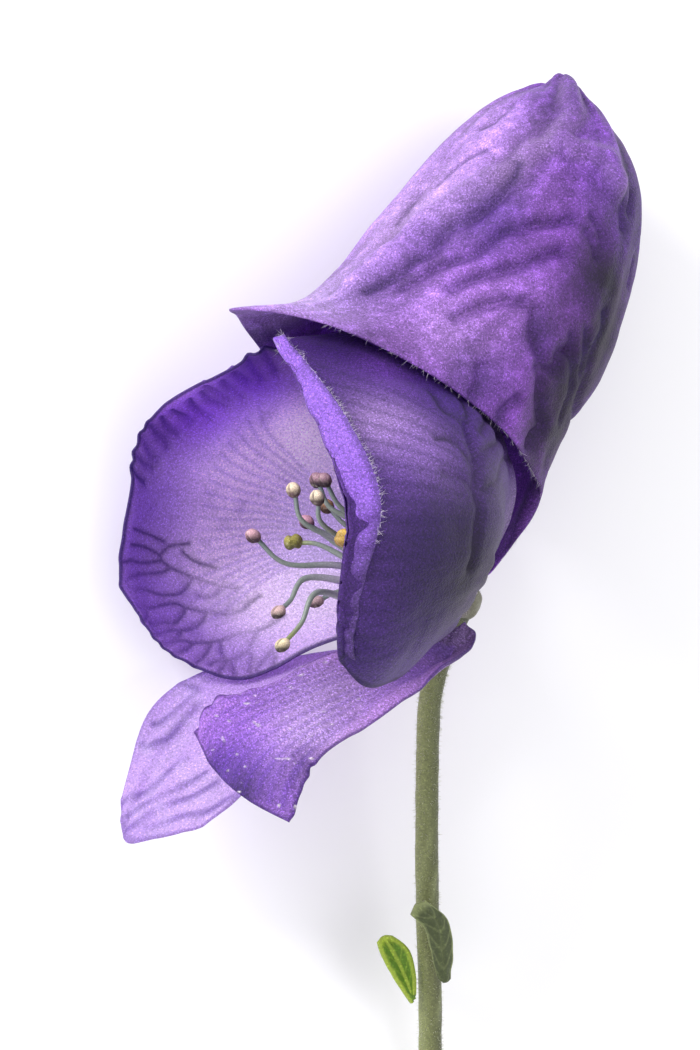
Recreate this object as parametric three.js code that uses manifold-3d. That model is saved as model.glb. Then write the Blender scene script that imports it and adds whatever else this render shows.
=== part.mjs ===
// A monkshood flower, cut with a length of its stalk and lying on its right side.
//
// Every piece is drawn in the flower's own frame: x runs forward, out of the flower's face, y to the
// flower's left and z up the flower, with the origin in the middle of the receptacle. Lengths are in
// millimetres. The whole flower is turned at the end, so that it lies on a level surface at z = 0.
import * as THREE from "three";
import { mergeVertices } from "three/addons/utils/BufferGeometryUtils.js";
import Module from "manifold-3d";

const wasm = await Module();
wasm.setup();

// ---------------------------------------------------------------- driving dimensions

const SEPAL_THICKNESS = 0.36;
const HOOD_THICKNESS = 0.4;
const STALK_RADIUS = 0.58;
const RECEPTACLE_CENTRE = [0.1, 0, -0.15];
const RECEPTACLE_RADII = [1.3, 1.4, 1.15]; // forward, sideways and up
const STAMEN_FOOT_X = 1.45; // how far forward of the origin the filaments start
const STAMEN_RINGS = { inner: 0.85, outer: 1.4 }; // radii of the two rings of filament feet
const FILAMENT_FOOT_RADIUS = 0.24;
const FILAMENT_TIP_RADIUS = 0.13;
const ANTHER_LENGTH = 0.92;
const CARPEL_LENGTH = 4.6;
const CARPEL_RADIUS = 0.3;
const NECTARY_STALK_RADIUS = 0.22;
const NECTARY_HEAD_RADIUS = 0.55;

// How the flower lies: it is turned about its own upright axis, then tipped towards its hood.
const LYING_TURN = THREE.MathUtils.degToRad(20);
const LYING_TIP = THREE.MathUtils.degToRad(1.6);

// ---------------------------------------------------------------- materials

function material(color, roughness) {
  return new THREE.MeshStandardMaterial({ color, roughness, metalness: 0 });
}

const hoodViolet = material(0x6f45b8, 0.55);
const sepalViolet = material(0x5b35a6, 0.55);
const paleSepalViolet = material(0x9a80d2, 0.55);
const stalkGreen = material(0x6d7d46, 0.7);
const bracteoleGreen = material(0x86a63c, 0.6);
const filamentGrey = material(0x8b9491, 0.45);
const pollenBuff = material(0xc9b199, 0.85);
const nectaryLilac = material(0xb7a7d6, 0.5);
const carpelGreen = material(0x93a648, 0.6);

// ---------------------------------------------------------------- curves and surfaces

const vector = ([x, y, z]) => new THREE.Vector3(x, y, z);
const mirrored = ([x, y, z]) => [x, -y, z];

// A smooth curve through points. A closed one runs back to its first point.
function curveThrough(points, closed = false) {
  return new THREE.CatmullRomCurve3(points, closed, "catmullrom", 0.5);
}

// A grid of points on the smooth surface through the ribs, which are rows of [x, y, z] that run
// across a sepal, from its foot to its far end. Each grid row has columns + 1 points, or columns
// points on a closed surface.
function surfaceGrid(ribs, rows, columns, closed = false) {
  const lengthwise = ribs[0].map((_, j) => curveThrough(ribs.map((rib) => vector(rib[j]))));
  return Array.from({ length: rows + 1 }, (_, i) => {
    const across = curveThrough(lengthwise.map((curve) => curve.getPoint(i / rows)), closed);
    return Array.from({ length: closed ? columns : columns + 1 }, (_, j) => across.getPoint(j / columns));
  });
}

// Unit normals of a grid, from the differences between each point's neighbours.
function gridNormals(grid, closed) {
  const lastRow = grid.length - 1;
  const width = grid[0].length;
  const column = (j) => (closed ? (j + width) % width : Math.min(Math.max(j, 0), width - 1));
  return grid.map((row, i) =>
    row.map((_, j) => {
      const along = new THREE.Vector3().subVectors(grid[Math.min(i + 1, lastRow)][j], grid[Math.max(i - 1, 0)][j]);
      const across = new THREE.Vector3().subVectors(row[column(j + 1)], row[column(j - 1)]);
      return along.cross(across).normalize();
    }),
  );
}

// A geometry of shared vertices, turned round if its faces point inwards.
function facingOut(points, triangles) {
  const volume = triangles.reduce(
    (sum, [a, b, c]) => sum + points[a].dot(new THREE.Vector3().crossVectors(points[b], points[c])),
    0,
  );
  const ordered = volume < 0 ? triangles.map(([a, b, c]) => [a, c, b]) : triangles;
  return new THREE.BufferGeometry().setFromPoints(points).setIndex(ordered.flat());
}

// A closed shell of even thickness around a grid. A closed grid is a cap: its last row is a small
// ring round the crown, which is drawn together to one point on each side of the shell.
function shellGeometry(grid, thickness, closed = false) {
  const rows = grid.length;
  const width = grid[0].length;
  const normals = gridNormals(grid, closed);
  const side = (shift) => grid.flatMap((row, i) => row.map((p, j) => p.clone().addScaledVector(normals[i][j], shift)));
  const points = [...side(thickness / 2), ...side(-thickness / 2)];
  const under = rows * width;
  const triangles = [];
  const quad = (a, b, c, d) => triangles.push([a, b, c], [a, c, d]);
  const spans = closed ? width : width - 1;
  for (let i = 0; i < rows - 1; i++) {
    for (let j = 0; j < spans; j++) {
      const k = (j + 1) % width;
      const [a, b, c, d] = [i * width + j, i * width + k, (i + 1) * width + k, (i + 1) * width + j];
      quad(a, b, c, d);
      quad(under + d, under + c, under + b, under + a);
    }
  }
  for (let j = 0; j < spans; j++) {
    const k = (j + 1) % width;
    quad(under + j, under + k, k, j);
    const last = (rows - 1) * width;
    if (!closed) quad(last + j, last + k, under + last + k, under + last + j);
  }
  if (closed) {
    const last = (rows - 1) * width;
    for (const start of [0, under]) {
      const ring = points.slice(start + last, start + last + width);
      const crown = points.push(ring.reduce((sum, p) => sum.add(p), new THREE.Vector3()).divideScalar(width)) - 1;
      for (let j = 0; j < width; j++) {
        const [p, q] = [start + last + j, start + last + ((j + 1) % width)];
        triangles.push(start === 0 ? [p, q, crown] : [q, p, crown]);
      }
    }
  } else {
    for (let i = 0; i < rows - 1; i++) {
      const [p, q] = [i * width, (i + 1) * width];
      quad(p, q, under + q, under + p);
      const [r, s] = [p + width - 1, q + width - 1];
      quad(s, r, under + r, under + s);
    }
  }
  return facingOut(points, triangles);
}

// A closed round rod along a path, whose radius at each step is radiusAt(0 to 1).
function rodGeometry(path, radiusAt, steps, sides) {
  const curve = curveThrough(path.map(vector));
  const { normals, binormals } = curve.computeFrenetFrames(steps, false);
  const points = [];
  for (let i = 0; i <= steps; i++) {
    const centre = curve.getPointAt(i / steps);
    for (let j = 0; j < sides; j++) {
      const turn = (2 * Math.PI * j) / sides;
      const spoke = new THREE.Vector3()
        .addScaledVector(normals[i], Math.cos(turn))
        .addScaledVector(binormals[i], Math.sin(turn));
      points.push(centre.clone().addScaledVector(spoke, radiusAt(i / steps)));
    }
  }
  const triangles = [];
  for (let i = 0; i < steps; i++) {
    for (let j = 0; j < sides; j++) {
      const k = (j + 1) % sides;
      const [a, b, c, d] = [i * sides + j, i * sides + k, (i + 1) * sides + k, (i + 1) * sides + j];
      triangles.push([a, b, c], [a, c, d]);
    }
  }
  const foot = points.push(curve.getPoint(0)) - 1;
  const tip = points.push(curve.getPoint(1)) - 1;
  for (let j = 0; j < sides; j++) {
    const k = (j + 1) % sides;
    triangles.push([foot, k, j], [tip, steps * sides + j, steps * sides + k]);
  }
  return facingOut(points, triangles);
}

// An egg-shaped body with its longest radius first, lying along a direction.
function eggGeometry(centre, direction, radii, around = 8, rings = 6) {
  const [length, width, height] = radii;
  const egg = new THREE.SphereGeometry(1, around, rings);
  egg.scale(width, length, height);
  egg.applyQuaternion(new THREE.Quaternion().setFromUnitVectors(new THREE.Vector3(0, 1, 0), direction));
  return egg.translate(centre.x, centre.y, centre.z);
}

// ---------------------------------------------------------------- joins

function solidOf(geometry) {
  const bare = geometry.clone();
  bare.deleteAttribute("normal");
  bare.deleteAttribute("uv");
  const merged = mergeVertices(bare, 1e-4);
  return new wasm.Manifold(
    new wasm.Mesh({
      numProp: 3,
      vertProperties: new Float32Array(merged.attributes.position.array),
      triVerts: new Uint32Array(merged.index.array),
    }),
  );
}

function joined(first, ...others) {
  const whole = others.reduce((sum, geometry) => sum.add(solidOf(geometry)), solidOf(first));
  const { vertProperties, triVerts } = whole.getMesh();
  return new THREE.BufferGeometry()
    .setAttribute("position", new THREE.BufferAttribute(vertProperties, 3))
    .setIndex(new THREE.BufferAttribute(triVerts, 1));
}

// ---------------------------------------------------------------- the flower's group

const flower = new THREE.Group();
flower.name = "flower";

function addPiece(name, geometry, finish) {
  const piece = new THREE.Mesh(geometry, finish);
  piece.name = name;
  flower.add(piece);
}

// ---------------------------------------------------------------- hood

// The left half of the hood's rim, from the beak at the front to the claw at the receptacle.
const HOOD_RIM = [
  [14.2, 0, 14.25],
  [12.4, 2.0, 14.0],
  [9.8, 4.2, 13.0],
  [6.1, 5.9, 10.9],
  [2.0, 5.9, 8.5],
  [-1.3, 4.3, 6.5],
  [-3.5, 2.4, 5.0],
  [-2.7, 1.3, 2.7],
  [-1.75, 0, 1.0],
];

// Level rings of the hood above its rim: the front and back points on the middle line, the half
// width, and how pointed the front is (1 is an ellipse, less is blunt).
const HOOD_RINGS = [
  { front: [9.3, 14.7], back: [-5.6, 8.1], halfWidth: 6.4, point: 1.25 },
  { front: [6.1, 16.5], back: [-7.5, 10.7], halfWidth: 6.6, point: 1.0 },
  { front: [3.3, 19.0], back: [-8.9, 13.9], halfWidth: 6.4, point: 0.85 },
  { front: [0.7, 21.7], back: [-10.1, 17.4], halfWidth: 5.9, point: 0.8 },
  { front: [-1.4, 23.7], back: [-10.4, 20.1], halfWidth: 5.1, point: 0.8 },
  { front: [-3.4, 25.2], back: [-9.4, 22.9], halfWidth: 3.8, point: 0.85 },
  { front: [-5.3, 26.0], back: [-7.9, 25.0], halfWidth: 2.0, point: 0.9 },
  { front: [-6.3, 26.15], back: [-6.9, 25.9], halfWidth: 0.4, point: 1.0 },
];

// The left half of a ring, as many points as the rim has. Each point's place between front and back
// follows a cosine, and its width a sine raised to the ring's point at the front and to 1 at the back.
function halfRing({ front, back, halfWidth, point }) {
  return HOOD_RIM.map((_, j) => {
    const turn = (Math.PI * j) / (HOOD_RIM.length - 1);
    const share = (1 - Math.cos(turn)) / 2;
    const power = THREE.MathUtils.lerp(point, 1, share);
    return [
      THREE.MathUtils.lerp(front[0], back[0], share),
      halfWidth * Math.sin(turn) ** power,
      THREE.MathUtils.lerp(front[1], back[1], share),
    ];
  });
}

// A half ring and its mirror image as one closed ring, which holds the front and back points once.
const wholeRing = (half) => [...half, ...half.slice(1, -1).reverse().map(mirrored)];

const hoodRings = [HOOD_RIM, ...HOOD_RINGS.map(halfRing)].map(wholeRing);
addPiece("hood", shellGeometry(surfaceGrid(hoodRings, 16, 28, true), HOOD_THICKNESS, true), hoodViolet);

// ---------------------------------------------------------------- lateral sepals

// Ribs run from the lower margin to the upper one, from the claw out to the rolled front margin.
const LEFT_LATERAL_RIBS = [
  [[1.1, 1.6, -0.8], [0.9, 1.75, -0.3], [0.6, 1.8, 0.2], [0.2, 1.75, 0.6], [-0.1, 1.6, 0.9]],
  [[2.9, 3.0, -1.6], [2.6, 4.5, 0.2], [2.0, 5.2, 2.5], [0.7, 4.6, 4.6], [-1.4, 2.9, 5.6]],
  [[5.5, 4.6, -2.5], [4.9, 7.4, 0.3], [4.4, 8.6, 3.6], [3.6, 7.1, 7.4], [2.4, 3.8, 10.6]],
  [[8.6, 5.8, -4.0], [8.5, 8.9, -0.6], [8.2, 10.1, 3.6], [7.8, 7.6, 8.6], [6.8, 2.6, 13.0]],
  [[11.4, 6.9, -4.2], [11.8, 9.2, -1.2], [11.9, 10.0, 3.4], [11.4, 7.4, 8.6], [10.4, 1.7, 13.0]],
  [[13.3, 7.3, -2.8], [14.3, 8.5, -0.2], [14.4, 9.2, 4.0], [14.0, 6.9, 8.2], [13.0, 1.9, 12.8]],
  [[13.2, 8.0, -3.0], [13.8, 9.4, -0.1], [13.0, 10.3, 4.6], [13.2, 7.9, 8.8], [12.9, 2.5, 13.0]],
];
const RIGHT_LATERAL_RIBS = [
  [[1.1, -1.6, -0.8], [0.9, -1.75, -0.3], [0.6, -1.8, 0.2], [0.2, -1.75, 0.6], [-0.1, -1.6, 0.9]],
  [[2.9, -3.0, -1.6], [2.6, -4.6, 0.2], [2.0, -5.3, 2.5], [0.7, -4.7, 4.6], [-1.4, -2.9, 5.6]],
  [[5.5, -4.6, -2.6], [4.9, -7.6, 0.2], [4.4, -8.9, 3.4], [3.9, -7.4, 7.2], [3.4, -3.6, 10.6]],
  [[8.7, -6.6, -4.2], [8.6, -9.1, -0.9], [8.2, -10.4, 3.2], [8.0, -8.4, 7.6], [7.8, -2.6, 12.0]],
  [[11.5, -8.3, -3.0], [11.6, -9.9, -0.4], [11.4, -10.6, 3.3], [11.2, -8.8, 8.4], [9.8, -1.9, 12.4]],
  [[13.0, -9.1, -1.3], [13.9, -9.7, 0.9], [13.8, -9.9, 4.1], [12.9, -8.2, 9.5], [11.3, -1.6, 12.2]],
];
addPiece("left_lateral_sepal", shellGeometry(surfaceGrid(LEFT_LATERAL_RIBS, 15, 14), SEPAL_THICKNESS), sepalViolet);
addPiece("right_lateral_sepal", shellGeometry(surfaceGrid(RIGHT_LATERAL_RIBS, 14, 14), SEPAL_THICKNESS), paleSepalViolet);

// ---------------------------------------------------------------- lower sepals

// Ribs run from the margin near the middle of the flower to the outer margin, from claw to tip.
const LEFT_LOWER_RIBS = [
  [[1.6, 0.5, -1.65], [1.5, 0.95, -1.65], [1.2, 1.4, -1.6], [0.8, 1.7, -1.25]],
  [[3.9, 0.8, -2.1], [3.3, 1.5, -2.8], [2.4, 2.1, -3.2], [0.9, 2.4, -2.3]],
  [[8.0, 1.0, -2.6], [7.6, 2.2, -3.5], [7.3, 3.5, -4.4], [7.0, 4.6, -4.9]],
  [[12.4, 0.0, -4.2], [12.3, 1.5, -5.1], [12.1, 3.5, -6.4], [12.0, 5.0, -7.3]],
  [[14.6, -1.0, -5.0], [14.6, 0.5, -6.5], [14.3, 2.8, -8.1], [13.5, 4.9, -8.7]],
  [[15.4, -1.5, -6.6], [15.3, 0.0, -8.4], [15.1, 2.5, -9.8], [14.4, 4.9, -10.8]],
];
const RIGHT_LOWER_RIBS = [
  [[1.6, -0.5, -1.65], [1.5, -0.95, -1.65], [1.2, -1.4, -1.6], [0.8, -1.7, -1.25]],
  [[3.9, -0.8, -2.3], [3.5, -1.8, -2.8], [2.8, -2.8, -2.8], [1.6, -2.9, -2.3]],
  [[6.9, -1.0, -4.8], [6.6, -2.8, -4.4], [6.0, -4.7, -3.9], [5.0, -6.4, -3.1]],
  [[10.0, -1.6, -7.0], [9.9, -4.0, -6.3], [9.5, -6.4, -5.4], [8.8, -8.6, -3.7]],
  [[11.6, -2.2, -9.6], [12.0, -4.6, -9.0], [12.4, -7.0, -8.0], [12.5, -9.1, -5.7]],
  [[13.2, -3.8, -11.4], [14.6, -5.6, -12.0], [15.6, -7.0, -12.2], [14.9, -8.5, -10.1]],
];
addPiece("left_lower_sepal", shellGeometry(surfaceGrid(LEFT_LOWER_RIBS, 12, 8), SEPAL_THICKNESS), sepalViolet);
addPiece("right_lower_sepal", shellGeometry(surfaceGrid(RIGHT_LOWER_RIBS, 12, 8), SEPAL_THICKNESS), paleSepalViolet);

// ---------------------------------------------------------------- nectaries

// Each nectary is a long stalk that runs up the back of the hood and ends in a hooked spur.
const LEFT_NECTARY_PATH = [
  [-0.9, 0.55, 1.5],
  [-1.3, 0.7, 6.0],
  [-2.4, 0.9, 11.5],
  [-3.8, 1.1, 16.5],
  [-5.6, 1.2, 19.6],
  [-7.6, 1.2, 20.0],
  [-8.2, 1.2, 18.4],
];
// The stalk is thin for most of its length and swells to the spur near its end.
function nectaryRadius(share) {
  const swell = THREE.MathUtils.smoothstep(share, 0.62, 0.82) - THREE.MathUtils.smoothstep(share, 0.9, 1.15);
  return THREE.MathUtils.lerp(NECTARY_STALK_RADIUS, NECTARY_HEAD_RADIUS, Math.max(swell, 0));
}
for (const [side, path] of [
  ["left", LEFT_NECTARY_PATH],
  ["right", LEFT_NECTARY_PATH.map(mirrored)],
]) {
  addPiece(`${side}_nectary`, rodGeometry(path, nectaryRadius, 16, 6), nectaryLilac);
}

// ---------------------------------------------------------------- stamens

// ring and clock say where on the receptacle the filament starts, clock being in degrees round the
// forward axis from straight up towards the left. bends is where it goes before it meets the anther.
const STAMENS = [
  { ring: "outer", clock: 258, bends: [[5.2, -2.2, 1.5], [8.3, -3.3, 1.7]], anther: [9.9, -4.0, 3.1] },
  { ring: "outer", clock: 298, bends: [[5.6, -1.9, 2.7], [8.1, -2.2, 3.8]], anther: [8.5, -2.5, 5.4] },
  { ring: "outer", clock: 336, bends: [[5.0, -1.2, 3.6], [6.6, -1.9, 4.5]], anther: [7.1, -2.4, 5.9] },
  { ring: "inner", clock: 345, bends: [[4.8, -0.6, 3.4], [6.7, -0.9, 4.5]], anther: [7.7, -1.0, 5.9] },
  { ring: "inner", clock: 290, bends: [[6.0, -0.3, 2.4], [8.6, 0.0, 3.7]], anther: [9.0, 0.1, 5.0] },
  { ring: "outer", clock: 355, bends: [[3.6, -1.0, 3.6], [5.0, -1.7, 4.9]], anther: [5.7, -2.2, 6.5] },
  { ring: "outer", clock: 15, bends: [[4.0, 0.2, 3.6], [6.2, 0.3, 4.6]], anther: [7.1, 0.3, 5.9] },
  { ring: "inner", clock: 240, bends: [[5.0, -0.9, 1.3], [6.9, -2.2, 2.6]], anther: [7.9, -3.3, 2.8], bean: true },
  { ring: "inner", clock: 40, bends: [[4.6, 0.8, 2.0], [6.6, 1.0, 2.4]], anther: [7.9, 0.9, 3.0], bean: true },
  { ring: "outer", clock: 317, bends: [[3.2, -2.1, 2.9], [4.6, -3.1, 3.6]], anther: [5.3, -3.9, 4.6] },
  { ring: "outer", clock: 278, bends: [[3.6, -2.4, 1.6], [5.2, -3.5, 2.8]], anther: [6.2, -4.4, 3.8] },
  { ring: "outer", clock: 227, bends: [[5.0, -1.7, 0.6], [7.8, -2.3, 1.0], [8.9, -2.2, -0.1]], anther: [9.6, -2.3, -0.7] },
  { ring: "outer", clock: 195, bends: [[5.4, -0.7, -0.4], [8.9, 0.0, 0.3], [9.9, 0.0, -1.2]], anther: [11.1, 0.0, -2.3] },
  { ring: "outer", clock: 162, bends: [[4.2, 0.7, -0.8], [6.2, 0.8, -0.7]], anther: [7.2, 0.8, -1.6] },
  { ring: "outer", clock: 38, bends: [[3.2, 1.5, 3.4], [4.4, 1.9, 5.2]], anther: [5.2, 1.9, 6.6] },
  { ring: "outer", clock: 62, bends: [[4.0, 2.2, 2.4], [6.0, 3.0, 3.6]], anther: [6.9, 3.2, 5.0] },
  { ring: "outer", clock: 86, bends: [[4.2, 2.6, 1.2], [6.4, 3.8, 1.8]], anther: [7.6, 4.4, 3.0] },
  { ring: "inner", clock: 90, bends: [[5.2, 1.6, 1.0], [7.6, 2.4, 1.4]], anther: [9.0, 2.8, 2.4] },
  { ring: "outer", clock: 110, bends: [[4.4, 2.4, 0.1], [6.6, 3.6, 0.0]], anther: [7.8, 4.2, 0.9] },
  { ring: "inner", clock: 135, bends: [[5.4, 1.6, -0.1], [7.6, 2.2, -0.5]], anther: [8.8, 2.4, -1.6] },
  { ring: "outer", clock: 134, bends: [[3.8, 1.9, -0.9], [5.6, 2.8, -1.2]], anther: [6.8, 3.4, -1.3] },
  { ring: "inner", clock: 205, bends: [[4.4, -1.2, 0.1], [6.2, -1.7, 0.3]], anther: [7.3, -2.2, -0.2] },
];

function stamenGeometry({ ring, clock, bends, anther, bean = false }) {
  const turn = THREE.MathUtils.degToRad(clock);
  const radius = STAMEN_RINGS[ring];
  const foot = [STAMEN_FOOT_X, radius * Math.sin(turn), radius * Math.cos(turn)];
  const filament = rodGeometry(
    [foot, ...bends, anther],
    (share) => THREE.MathUtils.lerp(FILAMENT_FOOT_RADIUS, FILAMENT_TIP_RADIUS, share),
    7,
    5,
  );
  const lean = vector(anther).sub(vector(bends.at(-1))).normalize();
  const lengthwise = bean ? new THREE.Vector3(0, 0, 1).cross(lean).normalize() : lean;
  const half = ANTHER_LENGTH / 2;
  const radii = bean ? [half * 1.35, half * 0.85, half * 0.85] : [half, half * 0.85, half * 0.85];
  return joined(filament, eggGeometry(vector(anther), lengthwise, radii, 7, 5));
}

STAMENS.forEach((stamen, i) => {
  addPiece(`stamen_${String(i + 1).padStart(2, "0")}`, stamenGeometry(stamen), stamen.bean ? pollenBuff : filamentGrey);
});

// ---------------------------------------------------------------- carpels

// Three tapering carpels stand in the middle of the stamens, a third of a turn apart.
const CARPEL_SPACING = 0.36;
for (let i = 0; i < 3; i++) {
  const turn = (2 * Math.PI * i) / 3 + Math.PI;
  const [y, z] = [CARPEL_SPACING * Math.sin(turn), CARPEL_SPACING * Math.cos(turn)];
  const path = [
    [STAMEN_FOOT_X, y, z],
    [STAMEN_FOOT_X + CARPEL_LENGTH * 0.4, y * 1.1, z * 1.1 + 0.25],
    [STAMEN_FOOT_X + CARPEL_LENGTH, y * 1.4, z * 1.4 + 1.0],
  ];
  const taper = (share) => CARPEL_RADIUS * (1 - 0.75 * share);
  addPiece(`carpel_${i + 1}`, rodGeometry(path, taper, 6, 6), carpelGreen);
}

// ---------------------------------------------------------------- stalk

const STALK_PATH = [
  [0.0, 0.0, -0.6],
  [0.8, 0.0, -2.3],
  [1.4, -0.3, -4.8],
  [1.1, -1.0, -8.3],
  [-0.1, -2.5, -15.2],
  [-1.6, -4.1, -22.6],
  [-2.5, -5.3, -28.0],
];
// The stalk thickens a little to its cut end and more to the receptacle.
const stalkRadius = (share) => STALK_RADIUS * (1 + 0.45 * Math.max(1 - share / 0.4, 0) ** 2 + 0.06 * share);
const stalk = rodGeometry(STALK_PATH, stalkRadius, 16, 10);
const receptacle = new THREE.SphereGeometry(1, 12, 8);
receptacle.scale(...RECEPTACLE_RADII).translate(...RECEPTACLE_CENTRE);
addPiece("stalk_and_receptacle", joined(stalk, receptacle), stalkGreen);

// ---------------------------------------------------------------- bracteoles

const LEFT_BRACTEOLE_RIBS = [
  [[0.0, -1.6, -19.2], [-0.3, -1.45, -19.6], [-0.7, -1.5, -19.4]],
  [[0.4, -1.6, -17.9], [0.1, -1.1, -17.9], [-0.6, -1.1, -17.9]],
  [[0.75, -1.7, -16.8], [0.4, -1.1, -16.5], [-0.2, -1.1, -16.4]],
  [[1.4, -2.0, -16.1], [1.4, -1.6, -15.6], [0.9, -1.4, -15.4]],
];
const RIGHT_BRACTEOLE_RIBS = [
  [[0.2, -3.45, -20.8], [0.05, -3.45, -20.6], [0.05, -3.3, -20.3]],
  [[0.9, -3.6, -19.8], [0.4, -3.65, -19.5], [0.25, -3.1, -19.1]],
  [[1.65, -3.8, -18.6], [1.0, -3.8, -18.3], [0.6, -3.15, -18.0]],
  [[2.1, -3.8, -17.6], [1.7, -3.85, -17.3], [1.5, -3.45, -17.3]],
];
addPiece("left_bracteole", shellGeometry(surfaceGrid(LEFT_BRACTEOLE_RIBS, 6, 4), 0.4), bracteoleGreen);
addPiece("right_bracteole", shellGeometry(surfaceGrid(RIGHT_BRACTEOLE_RIBS, 6, 4), 0.3), bracteoleGreen);

// ---------------------------------------------------------------- lying on a surface

// The part's frame: z is up from the surface, y runs up the flower and x across it. Its origin is
// under the middle of the flower's box, on the surface.
const upright = new THREE.Matrix4().makeBasis(
  new THREE.Vector3(-Math.cos(LYING_TURN), 0, Math.sin(LYING_TURN)),
  new THREE.Vector3(Math.sin(LYING_TURN), 0, Math.cos(LYING_TURN)),
  new THREE.Vector3(0, 1, 0),
);
flower.quaternion.setFromRotationMatrix(upright);
const tip = new THREE.Quaternion().setFromAxisAngle(new THREE.Vector3(1, 0, 0), LYING_TIP);
flower.quaternion.premultiply(tip);

const part = new THREE.Group();
part.add(flower);
part.updateMatrixWorld(true);
const box = new THREE.Box3().setFromObject(flower, true);
flower.position.set(-(box.min.x + box.max.x) / 2, -(box.min.y + box.max.y) / 2, -box.min.z);

export default part;
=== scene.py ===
"""A monkshood flower cut with its stalk and laid on a pale floor: the fine surfaces and finishes.

Every shape is worked out in the flower's own frame, in millimetres: x forward out of its face,
y to its left side, z up, and the origin in the receptacle. lay_down() then turns it to the way it lies.
"""
import math

import bpy
import numpy as np
from mathutils import Matrix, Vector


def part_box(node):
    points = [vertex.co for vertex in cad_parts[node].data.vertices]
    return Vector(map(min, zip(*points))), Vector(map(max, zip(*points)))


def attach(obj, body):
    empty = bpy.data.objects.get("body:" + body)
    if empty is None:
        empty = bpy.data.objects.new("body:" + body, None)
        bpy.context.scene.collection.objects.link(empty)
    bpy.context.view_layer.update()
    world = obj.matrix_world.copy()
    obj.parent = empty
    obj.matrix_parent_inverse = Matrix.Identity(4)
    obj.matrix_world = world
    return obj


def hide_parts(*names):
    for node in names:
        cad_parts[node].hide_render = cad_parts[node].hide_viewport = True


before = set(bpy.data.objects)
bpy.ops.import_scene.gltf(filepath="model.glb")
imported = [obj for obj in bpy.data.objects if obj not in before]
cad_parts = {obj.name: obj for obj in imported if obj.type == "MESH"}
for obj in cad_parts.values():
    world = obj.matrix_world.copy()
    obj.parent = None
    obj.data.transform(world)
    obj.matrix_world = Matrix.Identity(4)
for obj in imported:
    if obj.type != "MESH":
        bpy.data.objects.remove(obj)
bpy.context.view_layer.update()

bl_info = {
    "name": "Monkshood flower",
    "version": (1, 0, 0),
    "blender": (4, 5, 0),
    "location": "3D View > Sidebar > Monkshood",
    "description": "Builds the fine surfaces of a monkshood flower that lies on a floor",
    "category": "Add Mesh",
}

MM = 0.001
FLOOR_HALF = 1.2  # half the floor's side, in metres
FLOOR_GAP = 0.0001  # how far the floor lies below the flower, in metres
FUZZ_COUNT = 2600  # hairs on the stalk
FUZZ_RADIUS = 0.011  # in mm
HAIR_RADIUS = 0.008  # in mm

# ---------------------------------------------------------------- the flower's frame and the floor's

LYING_TURN = math.radians(20.0)  # how far the flower's face is turned towards the floor
LYING_TIP = math.radians(1.6)  # how far the whole flower is tipped along its stalk
TURN = np.array([
    [-math.cos(LYING_TURN), math.sin(LYING_TURN), 0.0],
    [0.0, 0.0, 1.0],
    [math.sin(LYING_TURN), math.cos(LYING_TURN), 0.0],
])
TIP = np.array([
    [1.0, 0.0, 0.0],
    [0.0, math.cos(LYING_TIP), -math.sin(LYING_TIP)],
    [0.0, math.sin(LYING_TIP), math.cos(LYING_TIP)],
])
LYING = TIP @ TURN
PLACE = np.zeros(3)  # the flower's origin in the floor's frame, in mm, set once the hood is known

# ---------------------------------------------------------------- the flower's nets

# The left half of the hood's rim, from the beak to the claw.
HOOD_RIM = [
    [14.2, 0, 14.25],
    [12.4, 2.0, 14.0],
    [9.8, 4.2, 13.0],
    [6.1, 5.9, 10.9],
    [2.0, 5.9, 8.5],
    [-1.3, 4.3, 6.5],
    [-3.5, 2.4, 5.0],
    [-2.7, 1.3, 2.7],
    [-1.75, 0, 1.0],
]
# The hood's level rings above the rim: front (x, z), back (x, z), half width, and the power at the front.
HOOD_RINGS = [
    ((9.3, 14.7), (-5.6, 8.1), 6.4, 1.25),
    ((6.1, 16.5), (-7.5, 10.7), 6.6, 1.0),
    ((3.3, 19.0), (-8.9, 13.9), 6.4, 0.85),
    ((0.7, 21.7), (-10.1, 17.4), 5.9, 0.8),
    ((-1.4, 23.7), (-10.4, 20.1), 5.1, 0.8),
    ((-3.4, 25.2), (-9.4, 22.9), 3.8, 0.85),
    ((-5.3, 26.0), (-7.9, 25.0), 2.0, 0.9),
    ((-6.3, 26.15), (-6.9, 25.9), 0.4, 1.0),
]
# Ribs of the lateral sepals run from the lower margin to the upper one, from the claw outwards.
LEFT_LATERAL_RIBS = [
    [[1.1, 1.6, -0.8], [0.9, 1.75, -0.3], [0.6, 1.8, 0.2], [0.2, 1.75, 0.6], [-0.1, 1.6, 0.9]],
    [[2.9, 3.0, -1.6], [2.6, 4.5, 0.2], [2.0, 5.2, 2.5], [0.7, 4.6, 4.6], [-1.4, 2.9, 5.6]],
    [[5.5, 4.6, -2.5], [4.9, 7.4, 0.3], [4.4, 8.6, 3.6], [3.6, 7.1, 7.4], [2.4, 3.8, 10.6]],
    [[8.6, 5.8, -4.0], [8.5, 8.9, -0.6], [8.2, 10.1, 3.6], [7.8, 7.6, 8.6], [6.8, 2.6, 13.0]],
    [[11.4, 6.9, -4.2], [11.8, 9.2, -1.2], [11.9, 10.0, 3.4], [11.4, 7.4, 8.6], [10.4, 1.7, 13.0]],
    [[13.3, 7.3, -2.8], [14.3, 8.5, -0.2], [14.4, 9.2, 4.0], [14.0, 6.9, 8.2], [13.0, 1.9, 12.8]],
    [[13.2, 8.0, -3.0], [13.8, 9.4, -0.1], [13.0, 10.3, 4.6], [13.2, 7.9, 8.8], [12.9, 2.5, 13.0]],
]
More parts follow.
